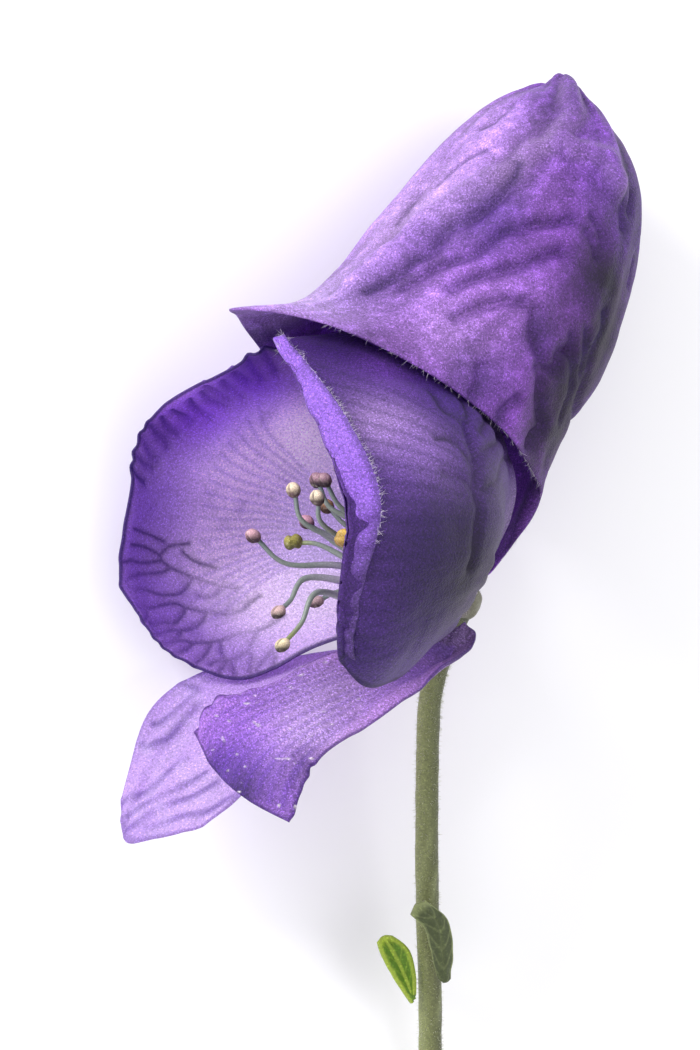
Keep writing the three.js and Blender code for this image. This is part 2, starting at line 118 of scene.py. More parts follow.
# The right one has one rib fewer, because its front margin is not rolled.
RIGHT_LATERAL_RIBS = [
    [[1.1, -1.6, -0.8], [0.9, -1.75, -0.3], [0.6, -1.8, 0.2], [0.2, -1.75, 0.6], [-0.1, -1.6, 0.9]],
    [[2.9, -3.0, -1.6], [2.6, -4.6, 0.2], [2.0, -5.3, 2.5], [0.7, -4.7, 4.6], [-1.4, -2.9, 5.6]],
    [[5.5, -4.6, -2.6], [4.9, -7.6, 0.2], [4.4, -8.9, 3.4], [3.9, -7.4, 7.2], [3.4, -3.6, 10.6]],
    [[8.7, -6.6, -4.2], [8.6, -9.1, -0.9], [8.2, -10.4, 3.2], [8.0, -8.4, 7.6], [7.8, -2.6, 12.0]],
    [[11.5, -8.3, -3.0], [11.6, -9.9, -0.4], [11.4, -10.6, 3.3], [11.2, -8.8, 8.4], [9.8, -1.9, 12.4]],
    [[13.0, -9.1, -1.3], [13.9, -9.7, 0.9], [13.8, -9.9, 4.1], [12.9, -8.2, 9.5], [11.3, -1.6, 12.2]],
]
# Ribs of the lower sepals run from the middle margin to the outer one, from the claw to the tip.
LEFT_LOWER_RIBS = [
    [[1.6, 0.5, -1.65], [1.5, 0.95, -1.65], [1.2, 1.4, -1.6], [0.8, 1.7, -1.25]],
    [[3.9, 0.8, -2.1], [3.3, 1.5, -2.8], [2.4, 2.1, -3.2], [0.9, 2.4, -2.3]],
    [[8.0, 1.0, -2.6], [7.6, 2.2, -3.5], [7.3, 3.5, -4.4], [7.0, 4.6, -4.9]],
    [[12.4, 0.0, -4.2], [12.3, 1.5, -5.1], [12.1, 3.5, -6.4], [12.0, 5.0, -7.3]],
    [[14.6, -1.0, -5.0], [14.6, 0.5, -6.5], [14.3, 2.8, -8.1], [13.5, 4.9, -8.7]],
    [[15.4, -1.5, -6.6], [15.3, 0.0, -8.4], [15.1, 2.5, -9.8], [14.4, 4.9, -10.8]],
]
# The right lower sepal spreads wider.
RIGHT_LOWER_RIBS = [
    [[1.6, -0.5, -1.65], [1.5, -0.95, -1.65], [1.2, -1.4, -1.6], [0.8, -1.7, -1.25]],
    [[3.9, -0.8, -2.3], [3.5, -1.8, -2.8], [2.8, -2.8, -2.8], [1.6, -2.9, -2.3]],
    [[6.9, -1.0, -4.8], [6.6, -2.8, -4.4], [6.0, -4.7, -3.9], [5.0, -6.4, -3.1]],
    [[10.0, -1.6, -7.0], [9.9, -4.0, -6.3], [9.5, -6.4, -5.4], [8.8, -8.6, -3.7]],
    [[11.6, -2.2, -9.6], [12.0, -4.6, -9.0], [12.4, -7.0, -8.0], [12.5, -9.1, -5.7]],
    [[13.2, -3.8, -11.4], [14.6, -5.6, -12.0], [15.6, -7.0, -12.2], [14.9, -8.5, -10.1]],
]
# Ribs of the bracteoles run across the leaf, from its foot to its tip.
LEFT_BRACTEOLE_RIBS = [
    [[0.0, -1.6, -19.2], [-0.3, -1.45, -19.6], [-0.7, -1.5, -19.4]],
    [[0.4, -1.6, -17.9], [0.1, -1.1, -17.9], [-0.6, -1.1, -17.9]],
    [[0.75, -1.7, -16.8], [0.4, -1.1, -16.5], [-0.2, -1.1, -16.4]],
    [[1.4, -2.0, -16.1], [1.4, -1.6, -15.6], [0.9, -1.4, -15.4]],
]
# The second bracteole stands out to the side.
RIGHT_BRACTEOLE_RIBS = [
    [[0.2, -3.45, -20.8], [0.05, -3.45, -20.6], [0.05, -3.3, -20.3]],
    [[0.9, -3.6, -19.8], [0.4, -3.65, -19.5], [0.25, -3.1, -19.1]],
    [[1.65, -3.8, -18.6], [1.0, -3.8, -18.3], [0.6, -3.15, -18.0]],
    [[2.1, -3.8, -17.6], [1.7, -3.85, -17.3], [1.5, -3.45, -17.3]],
]
STALK_PATH = [[0.0, 0.0, -0.6], [0.8, 0.0, -2.3], [1.4, -0.3, -4.8], [1.1, -1.0, -8.3], [-0.1, -2.5, -15.2], [-1.6, -4.1, -22.6], [-2.5, -5.3, -28.0]]
NECTARY_PATH = [[-0.9, 0.55, 1.5], [-1.3, 0.7, 6.0], [-2.4, 0.9, 11.5], [-3.8, 1.1, 16.5], [-5.6, 1.2, 19.6], [-7.6, 1.2, 20.0], [-8.2, 1.2, 18.4]]
RECEPTACLE_CENTRE = np.array([0.1, 0, -0.15])
RECEPTACLE_RADII = np.array([1.3, 1.4, 1.15])
STAMEN_FOOT_X = 1.45
CARPEL_LENGTH = 4.6
CARPEL_SPACING = 0.36
# Stamens: the radius of the ring their feet stand on, the foot's clock angle in degrees, the filament's
# bends, the anther's middle, whether it is a bean lying across, and the colour of its top and the painted shade of its
# underside.
STAMENS = [
    (1.4, 258, [[5.2, -2.2, 1.5], [8.3, -3.3, 1.7]], [9.9, -4.0, 3.1], False, ("c49aa4", "2a1a22")),
    (1.4, 298, [[5.6, -1.9, 2.7], [8.1, -2.2, 3.8]], [8.5, -2.5, 5.4], False, ("ecd9bb", "4a3038")),
    (1.4, 336, [[5.0, -1.2, 3.6], [6.6, -1.9, 4.5]], [7.1, -2.4, 5.9], False, ("a98493", "1d1218")),
    (0.85, 345, [[4.8, -0.6, 3.4], [6.7, -0.9, 4.5]], [7.7, -1.0, 5.9], False, ("a98493", "1d1218")),
    (0.85, 290, [[6.0, -0.3, 2.4], [8.6, 0.0, 3.7]], [9.0, 0.1, 5.0], False, ("ead8bd", "35242a")),
    (1.4, 355, [[3.6, -1.0, 3.6], [5.0, -1.7, 4.9]], [5.7, -2.2, 6.5], False, ("c0a3a8", "3a2430")),
    (1.4, 15, [[4.0, 0.2, 3.6], [6.2, 0.3, 4.6]], [7.1, 0.3, 5.9], False, ("c0a3a8", "3a2430")),
    (0.85, 240, [[5.0, -0.9, 1.3], [6.9, -2.2, 2.6]], [7.9, -3.3, 2.8], True, ("a39a4e", "6b6a3a")),
    (0.85, 40, [[4.6, 0.8, 2.0], [6.6, 1.0, 2.4]], [7.9, 0.9, 3.0], True, ("c9a54e", "8a6c34")),
    (1.4, 317, [[3.2, -2.1, 2.9], [4.6, -3.1, 3.6]], [5.3, -3.9, 4.6], False, ("9c7250", "33211c")),
    (1.4, 278, [[3.6, -2.4, 1.6], [5.2, -3.5, 2.8]], [6.2, -4.4, 3.8], False, ("c795a8", "33202a")),
    (1.4, 227, [[5.0, -1.7, 0.6], [7.8, -2.3, 1.0], [8.9, -2.2, -0.1]], [9.6, -2.3, -0.7], False, ("d3b3ae", "120c12")),
    (1.4, 195, [[5.4, -0.7, -0.4], [8.9, 0.0, 0.3], [9.9, 0.0, -1.2]], [11.1, 0.0, -2.3], False, ("eddcb4", "1a1216")),
    (1.4, 162, [[4.2, 0.7, -0.8], [6.2, 0.8, -0.7]], [7.2, 0.8, -1.6], False, ("b99aa0", "35222c")),
    (1.4, 38, [[3.2, 1.5, 3.4], [4.4, 1.9, 5.2]], [5.2, 1.9, 6.6], False, ("b99aa0", "35222c")),
    (1.4, 62, [[4.0, 2.2, 2.4], [6.0, 3.0, 3.6]], [6.9, 3.2, 5.0], False, ("b99aa0", "35222c")),
    (1.4, 86, [[4.2, 2.6, 1.2], [6.4, 3.8, 1.8]], [7.6, 4.4, 3.0], False, ("b99aa0", "35222c")),
    (0.85, 90, [[5.2, 1.6, 1.0], [7.6, 2.4, 1.4]], [9.0, 2.8, 2.4], False, ("b99aa0", "35222c")),
    (1.4, 110, [[4.4, 2.4, 0.1], [6.6, 3.6, 0.0]], [7.8, 4.2, 0.9], False, ("b99aa0", "35222c")),
    (0.85, 135, [[5.4, 1.6, -0.1], [7.6, 2.2, -0.5]], [8.8, 2.4, -1.6], False, ("b99aa0", "35222c")),
    (1.4, 134, [[3.8, 1.9, -0.9], [5.6, 2.8, -1.2]], [6.8, 3.4, -1.3], False, ("b99aa0", "35222c")),
    (0.85, 205, [[4.4, -1.2, 0.1], [6.2, -1.7, 0.3]], [7.3, -2.2, -0.2], False, ("b99aa0", "35222c")),
]
# Lines on the sepals, each a run of (u, v) places on its net.
# The hood's raised folds, then its grooves, the creases of its rear and the dark streaks at its front.
HOOD_RIDGES = [
    [(0.126, 0.943), (0.163, 0.933), (0.156, 0.797), (0.165, 0.722), (0.145, 0.653), (0.135, 0.598),
     (0.115, 0.573), (0.103, 0.51), (0.078, 0.473), (0.068, 0.445), (0.048, 0.39), (0.037, 0.363),
     (0.038, 0.33), (0.037, 0.292), (0.025, 0.267), (0.025, 0.233), (0.03, 0.193)],
    [(0.15, 0.635), (0.175, 0.615), (0.206, 0.618), (0.235, 0.622), (0.246, 0.597), (0.268, 0.578)],
]
HOOD_GROOVES = [
    [(0.108, 0.522), (0.111, 0.462), (0.11, 0.445), (0.088, 0.387), (0.072, 0.357), (0.077, 0.307),
     (0.067, 0.277), (0.067, 0.24), (0.055, 0.183)],
    [(0.208, 0.45), (0.188, 0.43), (0.166, 0.415), (0.15, 0.392), (0.135, 0.375), (0.128, 0.337),
     (0.121, 0.31), (0.097, 0.282), (0.09, 0.248), (0.085, 0.213)],
    [(0.213, 0.387), (0.196, 0.362), (0.18, 0.33), (0.161, 0.308), (0.155, 0.295), (0.143, 0.273),
     (0.13, 0.235)],
    [(0.208, 0.268), (0.188, 0.255), (0.176, 0.232), (0.166, 0.208), (0.161, 0.183)],
    [(0.221, 0.262), (0.234, 0.229), (0.254, 0.199), (0.277, 0.171), (0.291, 0.144), (0.302, 0.114),
     (0.314, 0.094), (0.325, 0.076), (0.307, 0.047), (0.299, 0.024)],
    [(0.221, 0.097), (0.223, 0.068), (0.218, 0.017)],
    [(0.266, 0.078), (0.25, 0.037), (0.246, 0.013)],
    [(0.293, 0.227), (0.283, 0.212), (0.296, 0.188), (0.295, 0.17), (0.276, 0.162)],
]
HOOD_REAR = [
    [(0.295, 0.28), (0.326, 0.227), (0.348, 0.198)],
    [(0.28, 0.255), (0.3, 0.223), (0.326, 0.195), (0.349, 0.163), (0.364, 0.117)],
    [(0.313, 0.332), (0.324, 0.303), (0.326, 0.26), (0.353, 0.21), (0.379, 0.17), (0.423, 0.133)],
    [(0.281, 0.577), (0.285, 0.525), (0.295, 0.488)],
    [(0.306, 0.578), (0.306, 0.533)],
    [(0.235, 0.475), (0.26, 0.453), (0.27, 0.437)],
    [(0.235, 0.443), (0.25, 0.432), (0.265, 0.413)],
    [(0.379, 0.57), (0.384, 0.512), (0.361, 0.468), (0.369, 0.417)],
]
HOOD_STREAKS = [
    [(0.037, 0.708), (0.032, 0.642), (0.015, 0.613)],
    [(0.048, 0.545), (0.03, 0.512), (0.02, 0.477), (0.015, 0.453)],
    [(0.993, 0.432), (0.993, 0.393), (0.993, 0.363)],
    [(0.013, 0.335), (0.008, 0.31), (0.003, 0.268)],
]
NEAR_FOLD = [(0.788, 0.397), (0.74, 0.4), (0.69, 0.402), (0.627, 0.417), (0.578, 0.423), (0.527, 0.425), (0.482, 0.427), (0.42, 0.43), (0.375, 0.43)]
NEAR_VEINS = [
    [(0.633, 0.513), (0.627, 0.495), (0.622, 0.462), (0.603, 0.44)],
    [(0.708, 0.505), (0.713, 0.465), (0.702, 0.445), (0.667, 0.427)],
    [(0.848, 0.463), (0.797, 0.453), (0.79, 0.42), (0.732, 0.405)],
    [(0.867, 0.388), (0.817, 0.392), (0.757, 0.395)],
    [(0.888, 0.318), (0.778, 0.367)],
    [(0.93, 0.27), (0.805, 0.305), (0.727, 0.362), (0.682, 0.398)],
    [(0.96, 0.22), (0.88, 0.235), (0.66, 0.328), (0.62, 0.373), (0.595, 0.4)],
]
FAR_VEINS = [
    [(0.485, 0.928), (0.49, 0.867), (0.49, 0.807), (0.478, 0.743)],
    [(0.43, 0.935), (0.448, 0.852), (0.445, 0.797), (0.432, 0.762), (0.417, 0.752), (0.397, 0.717),
     (0.383, 0.675), (0.37, 0.638), (0.35, 0.588), (0.332, 0.555), (0.313, 0.517)],
    [(0.432, 0.762), (0.453, 0.737), (0.465, 0.715), (0.472, 0.648)],
    [(0.345, 0.97), (0.375, 0.92), (0.39, 0.86), (0.408, 0.792), (0.417, 0.752)],
    [(0.272, 0.957), (0.315, 0.917), (0.35, 0.852), (0.37, 0.787), (0.382, 0.745), (0.395, 0.717)],
    [(0.228, 0.992), (0.26, 0.908), (0.293, 0.833), (0.295, 0.78), (0.308, 0.713), (0.327, 0.677),
     (0.367, 0.638)],
    [(0.31, 0.627), (0.307, 0.585), (0.322, 0.56)],
    [(0.167, 0.925), (0.212, 0.848), (0.253, 0.778), (0.275, 0.72), (0.267, 0.682), (0.26, 0.623),
     (0.253, 0.59), (0.242, 0.56), (0.238, 0.522), (0.247, 0.505), (0.263, 0.472)],
    [(0.197, 0.86), (0.157, 0.875), (0.073, 0.943)],
    [(0.267, 0.682), (0.237, 0.703), (0.195, 0.74), (0.172, 0.792), (0.097, 0.89)],
    [(0.253, 0.618), (0.225, 0.638), (0.2, 0.668), (0.175, 0.71), (0.152, 0.762), (0.108, 0.815),
     (0.0, 0.923)],
    [(0.165, 0.728), (0.11, 0.753)],
    [(0.013, 0.852), (0.108, 0.752), (0.125, 0.7), (0.147, 0.635), (0.153, 0.605), (0.162, 0.568),
     (0.162, 0.545), (0.152, 0.508), (0.148, 0.472), (0.162, 0.432)],
    [(0.123, 0.7), (0.057, 0.753), (0.003, 0.805)],
    [(0.142, 0.637), (0.098, 0.665), (0.048, 0.703), (0.0, 0.74)],
    [(0.152, 0.605), (0.12, 0.613), (0.08, 0.62)],
    [(0.04, 0.678), (0.068, 0.645), (0.078, 0.598), (0.092, 0.563), (0.1, 0.543), (0.13, 0.518),
     (0.148, 0.508)],
    [(0.075, 0.615), (0.023, 0.653)],
    [(0.075, 0.598), (0.025, 0.608)],
    [(0.095, 0.545), (0.065, 0.545), (0.022, 0.568)],
    [(0.068, 0.49), (0.045, 0.522), (0.022, 0.55)],
    [(0.057, 0.488), (0.015, 0.505)],
    [(0.448, 0.672), (0.42, 0.633), (0.393, 0.565)],
]
FAR_WRINKLES = [
    [(0.827, 0.903), (0.82, 0.828), (0.813, 0.765), (0.812, 0.723)],
    [(0.783, 0.917), (0.792, 0.822), (0.785, 0.763)],
    [(0.853, 0.898), (0.847, 0.792), (0.845, 0.707)],
    [(0.868, 0.935), (0.867, 0.808), (0.862, 0.727)],
    [(0.897, 0.892), (0.885, 0.785), (0.877, 0.685)],
    [(0.925, 0.922), (0.917, 0.803), (0.913, 0.733)],
    [(0.975, 1.0), (0.94, 0.772), (0.927, 0.688)],
    [(0.998, 0.927), (0.968, 0.743), (0.953, 0.653)],
    [(0.717, 0.978), (0.72, 0.908), (0.723, 0.823), (0.712, 0.792)],
    [(0.685, 0.988), (0.678, 0.902), (0.672, 0.817)],
    [(0.645, 1.0), (0.645, 0.935), (0.655, 0.837)],
    [(0.617, 1.0), (0.607, 0.955), (0.61, 0.88)],
    [(0.753, 0.938), (0.75, 0.843), (0.748, 0.777)],
]
LOWER_ROLL = [(0.768, 0.483), (0.835, 0.56), (0.873, 0.602), (0.852, 0.642), (0.895, 0.707), (0.912, 0.772), (0.94, 0.832)]
FAN_VEINS = [
    [(0.992, 0.705), (0.958, 0.688), (0.892, 0.668), (0.868, 0.712), (0.868, 0.748), (0.895, 0.793),
     (0.932, 0.815)],
    [(0.81, 0.682), (0.8, 0.715), (0.792, 0.753), (0.792, 0.792), (0.83, 0.822), (0.89, 0.857),
     (0.943, 0.867)],
    [(0.587, 0.795), (0.628, 0.827), (0.695, 0.89), (0.805, 0.935), (0.94, 0.993)],
    [(0.397, 0.798), (0.49, 0.855), (0.585, 0.892), (0.692, 0.927), (0.798, 0.975)],
    [(0.0, 0.813), (0.073, 0.867), (0.125, 0.915), (0.298, 0.933), (0.385, 0.955), (0.51, 0.967)],
    [(0.258, 0.81), (0.347, 0.87), (0.493, 0.905), (0.722, 0.985)],
]
# Colour zones: the (u, v) place of the middle, the radius in mm, the screen colour, and how strong it is.
# The hood's zones mix its own colour with painted light and shade. The pale zones along the front band are painted
# light from the upper left. The dark zones beside them on the near side, and the dark and near-black zones at the rear,
# are painted shade. The rest is the hood's own colour.
HOOD_TONE_AND_LIGHTING_ZONES = [
    (0.0, 0.4, 3.4, 'ecccff', 0.75),
    (0.02, 0.64, 2.6, 'd8b0fa', 0.65),
    (0.10, 0.45, 1.6, '43268a', 0.6),
    (0.06, 0.34, 1.5, '4a2a8c', 0.65),
    (0.04, 0.56, 3.6, 'c596f2', 0.6),
    (0.97, 0.45, 4.5, 'd4a8fa', 0.8),
    (0.98, 0.12, 4.0, 'ecd4ff', 0.85),
    (0.04, 0.15, 3.2, 'a06fd8', 0.5),
    (0.92, 0.02, 2.0, 'b884e8', 0.6),
    (0.17, 0.16, 2.6, 'd3a0ff', 0.9),
    (0.18, 0.26, 2.6, 'c88cf8', 0.85),
    (0.14, 0.35, 2.4, '7a49b2', 0.6),
    (0.1, 0.4, 1.7, '55309a', 0.55),
    (0.06, 0.3, 2.0, '7443ac', 0.5),
    (0.07, 0.2, 1.5, '7443ac', 0.4),
    (0.14, 0.76, 2.8, '6e3fa6', 0.6),
    (0.16, 0.95, 2.5, '5d3590', 0.6),
    (0.22, 0.56, 3.0, '7d4fb4', 0.45),
    (0.31, 0.52, 3.2, '63409a', 0.65),
    (0.4, 0.6, 5.0, '4f2e88', 0.6),
    (0.25, 0.22, 1.4, '4c2a86', 0.6),
    (0.22, 0.06, 1.8, '5f38a0', 0.55),
    (0.42, 0.3, 5.0, '2f1a58', 0.75),
    (0.6, 0.3, 6.5, '5a36a0', 0.55),
    (0.8, 0.4, 6.0, '8a5acc', 0.4),
    (0.36, 0.09, 3.0, '1a0b30', 0.9),
    (0.335, 0.18, 2.6, '180a2c', 0.92),
    (0.33, 0.3, 2.5, '14081f', 0.93),
    (0.275, 0.37, 1.7, '2a1450', 0.7),
    (0.3, 0.385, 1.6, '08030f', 0.97),
]
# The left lateral sepal's zones mix its own colour with painted light and shadow. The palest zones are painted light on
# its bulge. The dark and near-black zones at its rear and up under the hood's margin are painted shadow. The rest is
# its own colour.
NEAR_TONE_AND_LIGHTING_ZONES = [
    (0.73, 0.62, 2.0, 'dcb4ff', 0.9),
    (0.67, 0.57, 2.4, 'bb8cf4', 0.8),
    (0.88, 0.55, 2.2, '8a50d0', 0.7),
    (0.95, 0.65, 2.0, '43207e', 0.8),
    (0.85, 0.42, 2.6, '4f2a98', 0.7),
    (0.6, 0.66, 2.0, '8a58d0', 0.6),
    (0.48, 0.58, 3.0, '3d2270', 0.8),
    (0.3, 0.55, 3.6, '321c5c', 0.85),
    (0.46, 0.45, 2.6, '2a164a', 0.8),
    (0.19, 0.72, 2.4, '5c3798', 0.6),
    (0.03, 0.56, 2.0, '6a50a0', 0.5),
    (0.06, 0.75, 1.8, '4a2a86', 0.6),
    (0.9, 0.28, 2.2, '5c3a8c', 0.6),
    (0.62, 0.36, 2.0, '4c3372', 0.6),
    (0.55, 0.28, 2.4, '6d5690', 0.6),
    (0.95, 0.12, 2.4, 'a58ac4', 0.7),
    (0.33, 0.43, 1.8, '1e1030', 0.9),
    (0.33, 0.33, 2.2, '1c1026', 0.9),
    (0.2, 0.3, 2.4, '2a1c38', 0.8),
    (0.4, 0.1, 2.4, '3c3340', 0.8),
]
# The near-white zones of the right lateral sepal's inner face are partly its own pale colour and partly painted light.
# They stand for light let through from behind where the sepal lies in the shade of the hood and the left sepal. The
# violet zones near the upper margin are its own colour.
FAR_TONE_AND_GLOW_ZONES = [
    (0.79, 0.43, 3.6, 'fbf0ff', 0.95),
    (0.7, 0.55, 3.2, 'f4e0fd', 0.9),
    (0.25, 0.47, 3.4, 'f7e6fd', 0.9),
    (0.47, 0.55, 3.4, 'f2dafc', 0.85),
    (0.2, 0.3, 3.6, 'f5e8fa', 0.85),
    (0.5, 0.25, 4.0, 'd8cbe8', 0.7),
    (0.8, 0.78, 2.4, 'a34ff0', 0.75),
    (0.92, 0.72, 2.6, '8a3cdc', 0.8),
    (0.97, 0.9, 2.5, '6a2cae', 0.8),
    (0.72, 0.88, 2.2, '7b45b8', 0.7),
    (0.58, 0.92, 2.2, '7d50bb', 0.6),
    (0.4, 0.92, 2.6, '8354c4', 0.6),
    (0.26, 0.84, 2.6, '9060cc', 0.55),
    (0.12, 0.78, 2.4, '8050be', 0.6),
    (0.05, 0.6, 2.4, '9a70cc', 0.5),
    (0.58, 0.75, 2.4, 'a27bd2', 0.5),
]
LOWER_ZONES = [
    (0.36, 0.08, 2.8, '463560', 0.8),
    (0.8, 0.05, 2.6, '5d4a78', 0.7),
    (0.48, 0.33, 2.2, '5b4282', 0.7),
    (0.46, 0.48, 2.4, 'b29ac6', 0.6),
    (0.39, 0.56, 2.4, 'bb9fd6', 0.6),
    (0.2, 0.66, 2.4, 'a67dd0', 0.6),
    (0.31, 0.8, 2.4, 'a06cd4', 0.7),
    (0.5, 0.9, 2.2, '7d4cc0', 0.8),
    (0.69, 0.88, 2.0, '7a4cba', 0.7),
    (0.95, 0.91, 1.8, '6f4aa4', 0.7),
    (0.72, 0.6, 2.0, 'cbb0e4', 0.7),
    (0.6, 0.99, 1.4, '2c1258', 0.9),
    (0.35, 0.99, 1.4, '4a2688', 0.8),
    (0.95, 0.72, 1.2, '43246f', 0.7),
]
FAN_ZONES = [
    (0.9, 0.3, 3.0, 'b79cd2', 0.6),
    (0.99, 0.67, 2.6, 'c8a8e8', 0.6),
    (0.8, 0.83, 2.2, 'a078c8', 0.6),
    (0.72, 0.77, 2.0, 'ac88ce', 0.5),
    (0.56, 0.95, 2.2, '9c6cca', 0.7),
    (0.28, 0.87, 2.2, 'cdaee6', 0.7),
    (0.2, 0.79, 1.8, '8f70b0', 0.5),
    (0.4, 0.2, 3.0, '8f78a6', 0.6),
]
# Hairs: which net, whether it closes, the run (u0, u1, v0, v1, how many) they stand on, the way out of
# the sheet as steps of (u, v), their shortest and longest length in mm, and their colour.
HAIR_LINES = [
    ("hood", True, (0.10, 0.46, 0.0, 0.0, 150), (0, 1), (0.15, 0.45), "e6dcf0"),
    ("left_lateral", False, (0.40, 0.99, 1.0, 1.0, 170), (0, -1), (0.15, 0.42), "e9e0f2"),
    ("left_lateral", False, (0.93, 1.0, 0.80, 0.99, 40), (-1, 0), (0.3, 0.9), "f0e8f4"),
    ("left_lateral", False, (0.05, 0.36, 0.12, 0.30, 90), (1, 0), (0.15, 0.4), "cfc4d2"),
    ("left_lower", False, (0.6, 1.0, 0.04, 0.02, 50), (0, 1), (0.15, 0.35), "d8cfe0"),
]
NETS = {
    "left_lateral": LEFT_LATERAL_RIBS,
    "left_lower": LEFT_LOWER_RIBS,
}

# The camera looks along the flower's level plane, this far round from its left side towards its face,
# at the middle of a frame of that height.
VIEW_AZIMUTH = math.radians(38.0)
AIM = [6.72, -0.17, 3.65]
FRAME_HEIGHT = 52.5 * MM

# ---------------------------------------------------------------- shared tools


def half_ring(front, back, half_width, point, count=9):
    """The left half of a level ring: along the middle line its place between front and back follows a
    cosine, and its width a sine raised to a power that goes from point at the front to 1 at the back."""
    turn = np.pi * np.arange(count) / (count - 1)
    share = (1 - np.cos(turn)) / 2
    power = point + (1 - point) * share
    x = front[0] + (back[0] - front[0]) * share
    z = front[1] + (back[1] - front[1]) * share
    return np.stack([x, half_width * np.abs(np.sin(turn)) ** power, z], 1)


def hood_net():
    """The hood's rim and rings, each a left half followed by its mirror image in reverse."""
    halves = [np.array(HOOD_RIM)] + [half_ring(*ring) for ring in HOOD_RINGS]
    return np.array([np.concatenate([h, (h[1:-1] * [1, -1, 1])[::-1]]) for h in halves])


def spans(share, count, closed):
    """Which four of count points a share of the way along lies between, and their Catmull-Rom weights."""
    reach = count if closed else count - 1
    place = (share % 1.0) * reach if closed else np.clip(share, 0, 1) * reach
    first = np.minimum(place.astype(int), reach - 1)
    t = place - first
    weights = np.stack([
        t * (-0.5 + t * (1 - 0.5 * t)),
        1 + t * t * (1.5 * t - 2.5),
        t * (0.5 + t * (2 - 1.5 * t)),
        t * t * (0.5 * t - 0.5),
    ])
    return first, weights


def on_net(net, u, v, closed=False):
    """The point at (u, v) of the smooth surface through a net of ribs: Catmull-Rom splines along v
    through the ribs and along u within each rib, whose ends go on straight unless the rib closes."""
    net = np.asarray(net, float)
    net = np.concatenate([2 * net[:1] - net[1:2], net, 2 * net[-1:] - net[-2:-1]])
    count = net.shape[1]
    if closed:
        net = np.concatenate([net[:, -1:], net, net[:, :2]], 1)
    else:
        net = np.concatenate([2 * net[:, :1] - net[:, 1:2], net, 2 * net[:, -1:] - net[:, -2:-1]], 1)
    u, v = np.broadcast_arrays(np.asarray(u, float), np.asarray(v, float))
    row, row_weights = spans(v, net.shape[0] - 2, False)
    column, column_weights = spans(u, count, closed)
    total = np.zeros(u.shape + (3,))
    for i in range(4):
        for j in range(4):
            total += (row_weights[i] * column_weights[j])[..., None] * net[row + i, column + j]
    return total


def along(points, share):
    """The point a share of the way along a Catmull-Rom spline through points of any width."""
    points = np.asarray(points, float)
    padded = np.concatenate([2 * points[:1] - points[1:2], points, 2 * points[-1:] - points[-2:-1]])
    first, weights = spans(np.asarray(share, float), len(points), False)
    return sum(weights[i][..., None] * padded[first + i] for i in range(4))


def mixed_bits(cells, seed):
    """A number from -1 to 1 for each whole-number cell, the same every time."""
    h = cells[..., 0] * 73856093 ^ cells[..., 1] * 19349663 ^ cells[..., 2] * 83492791 ^ seed * 97531
    h = (h & 0xFFFFFFFF) * 1274126177 & 0xFFFFFFFF
    h = (h ^ h >> 15) * 668265263 & 0xFFFFFFFF
    return (h ^ h >> 13) / 2147483647.5 - 1


def ripple(points, cell, seed):
    """Smooth lattice noise from -1 to 1: numbers at the corners of cells of that size, blended with a
    smooth step along each axis. cell is one size or three."""
    place = points / np.asarray(cell, float) + 1000.0
    base = np.floor(place).astype(np.int64)
    t = place - base
    t = t * t * (3 - 2 * t)
    total = np.zeros(points.shape[:-1])
    for corner in range(8):
        step = np.array([corner & 1, corner >> 1 & 1, corner >> 2])
        total += mixed_bits(base + step, seed) * np.prod(np.where(step, t, 1 - t), -1)
    return total


def near_line(points, line, width):
    """1 on a line through space, falling off as a bell curve of that width with the distance from its
    nearest straight stretch. The width may change along the line, from width[0] to width[1]."""
    start, end = (width, width) if np.isscalar(width) else width
    flat = points.reshape(-1, 3)
    best = np.zeros(len(flat))
    reach = 3 * max(start, end)
    low, high = line.min(0) - reach, line.max(0) + reach
    inside = np.nonzero(((flat > low) & (flat < high)).all(1))[0]
    if len(inside):
        close = flat[inside]
        found = np.zeros(len(close))
        for i in range(len(line) - 1):
            a, d = line[i], line[i + 1] - line[i]
            t = np.clip((close - a) @ d / max(d @ d, 1e-12), 0, 1)
            gap = ((close - a - t[:, None] * d) ** 2).sum(1)
            w = start + (end - start) * (i + t) / (len(line) - 1)
            found = np.maximum(found, np.exp(-gap / w ** 2))
        best[inside] = found
    return best.reshape(points.shape[:-1])


def lines_on(net, lines, closed=False, stretches=5):
    """Lines given by (u, v) corners, as smooth runs of points on a net's surface."""
    runs = []
    for line in lines:
        uv = along(line, np.linspace(0, 1, (len(line) - 1) * stretches + 1))
        runs.append(on_net(net, uv[:, 0], uv[:, 1], closed))
    return runs


def linear(colour):
    """A hexadecimal screen colour as linear light."""
    c = np.array([int(colour[i:i + 2], 16) for i in (0, 2, 4)]) / 255
    return np.where(c <= 0.04045, c / 12.92, ((c + 0.055) / 1.055) ** 2.4)


def blend(colours, target, share):
    """Colours moved towards one target by a share that differs from point to point."""
    share = np.clip(share, 0, 1)[..., None]
    return colours * (1 - share) + np.asarray(target) * share


def patches(points, net, colours, zones, closed=False):
    """Colours moved towards each zone's colour around its (u, v) centre, as a bell curve of its radius."""
    for u, v, radius, colour, strength in zones:
        centre = on_net(net, np.array([u]), np.array([v]), closed)[0]
        gap = ((points - centre) ** 2).sum(-1) / radius ** 2
        colours = blend(colours, linear(colour), strength * np.exp(-gap))
    return colours


def lay_down(points):
    """Points of the flower's frame, in mm, turned and moved to where the flower lies, in metres."""
    return (points @ LYING.T + PLACE) * MM


def signed_volume(points, triangles):
    """Six times the volume that triangles enclose, positive where they face outwards."""
    a, b, c = (points[triangles[:, i]] for i in range(3))
    return float((a * np.cross(b, c)).sum())


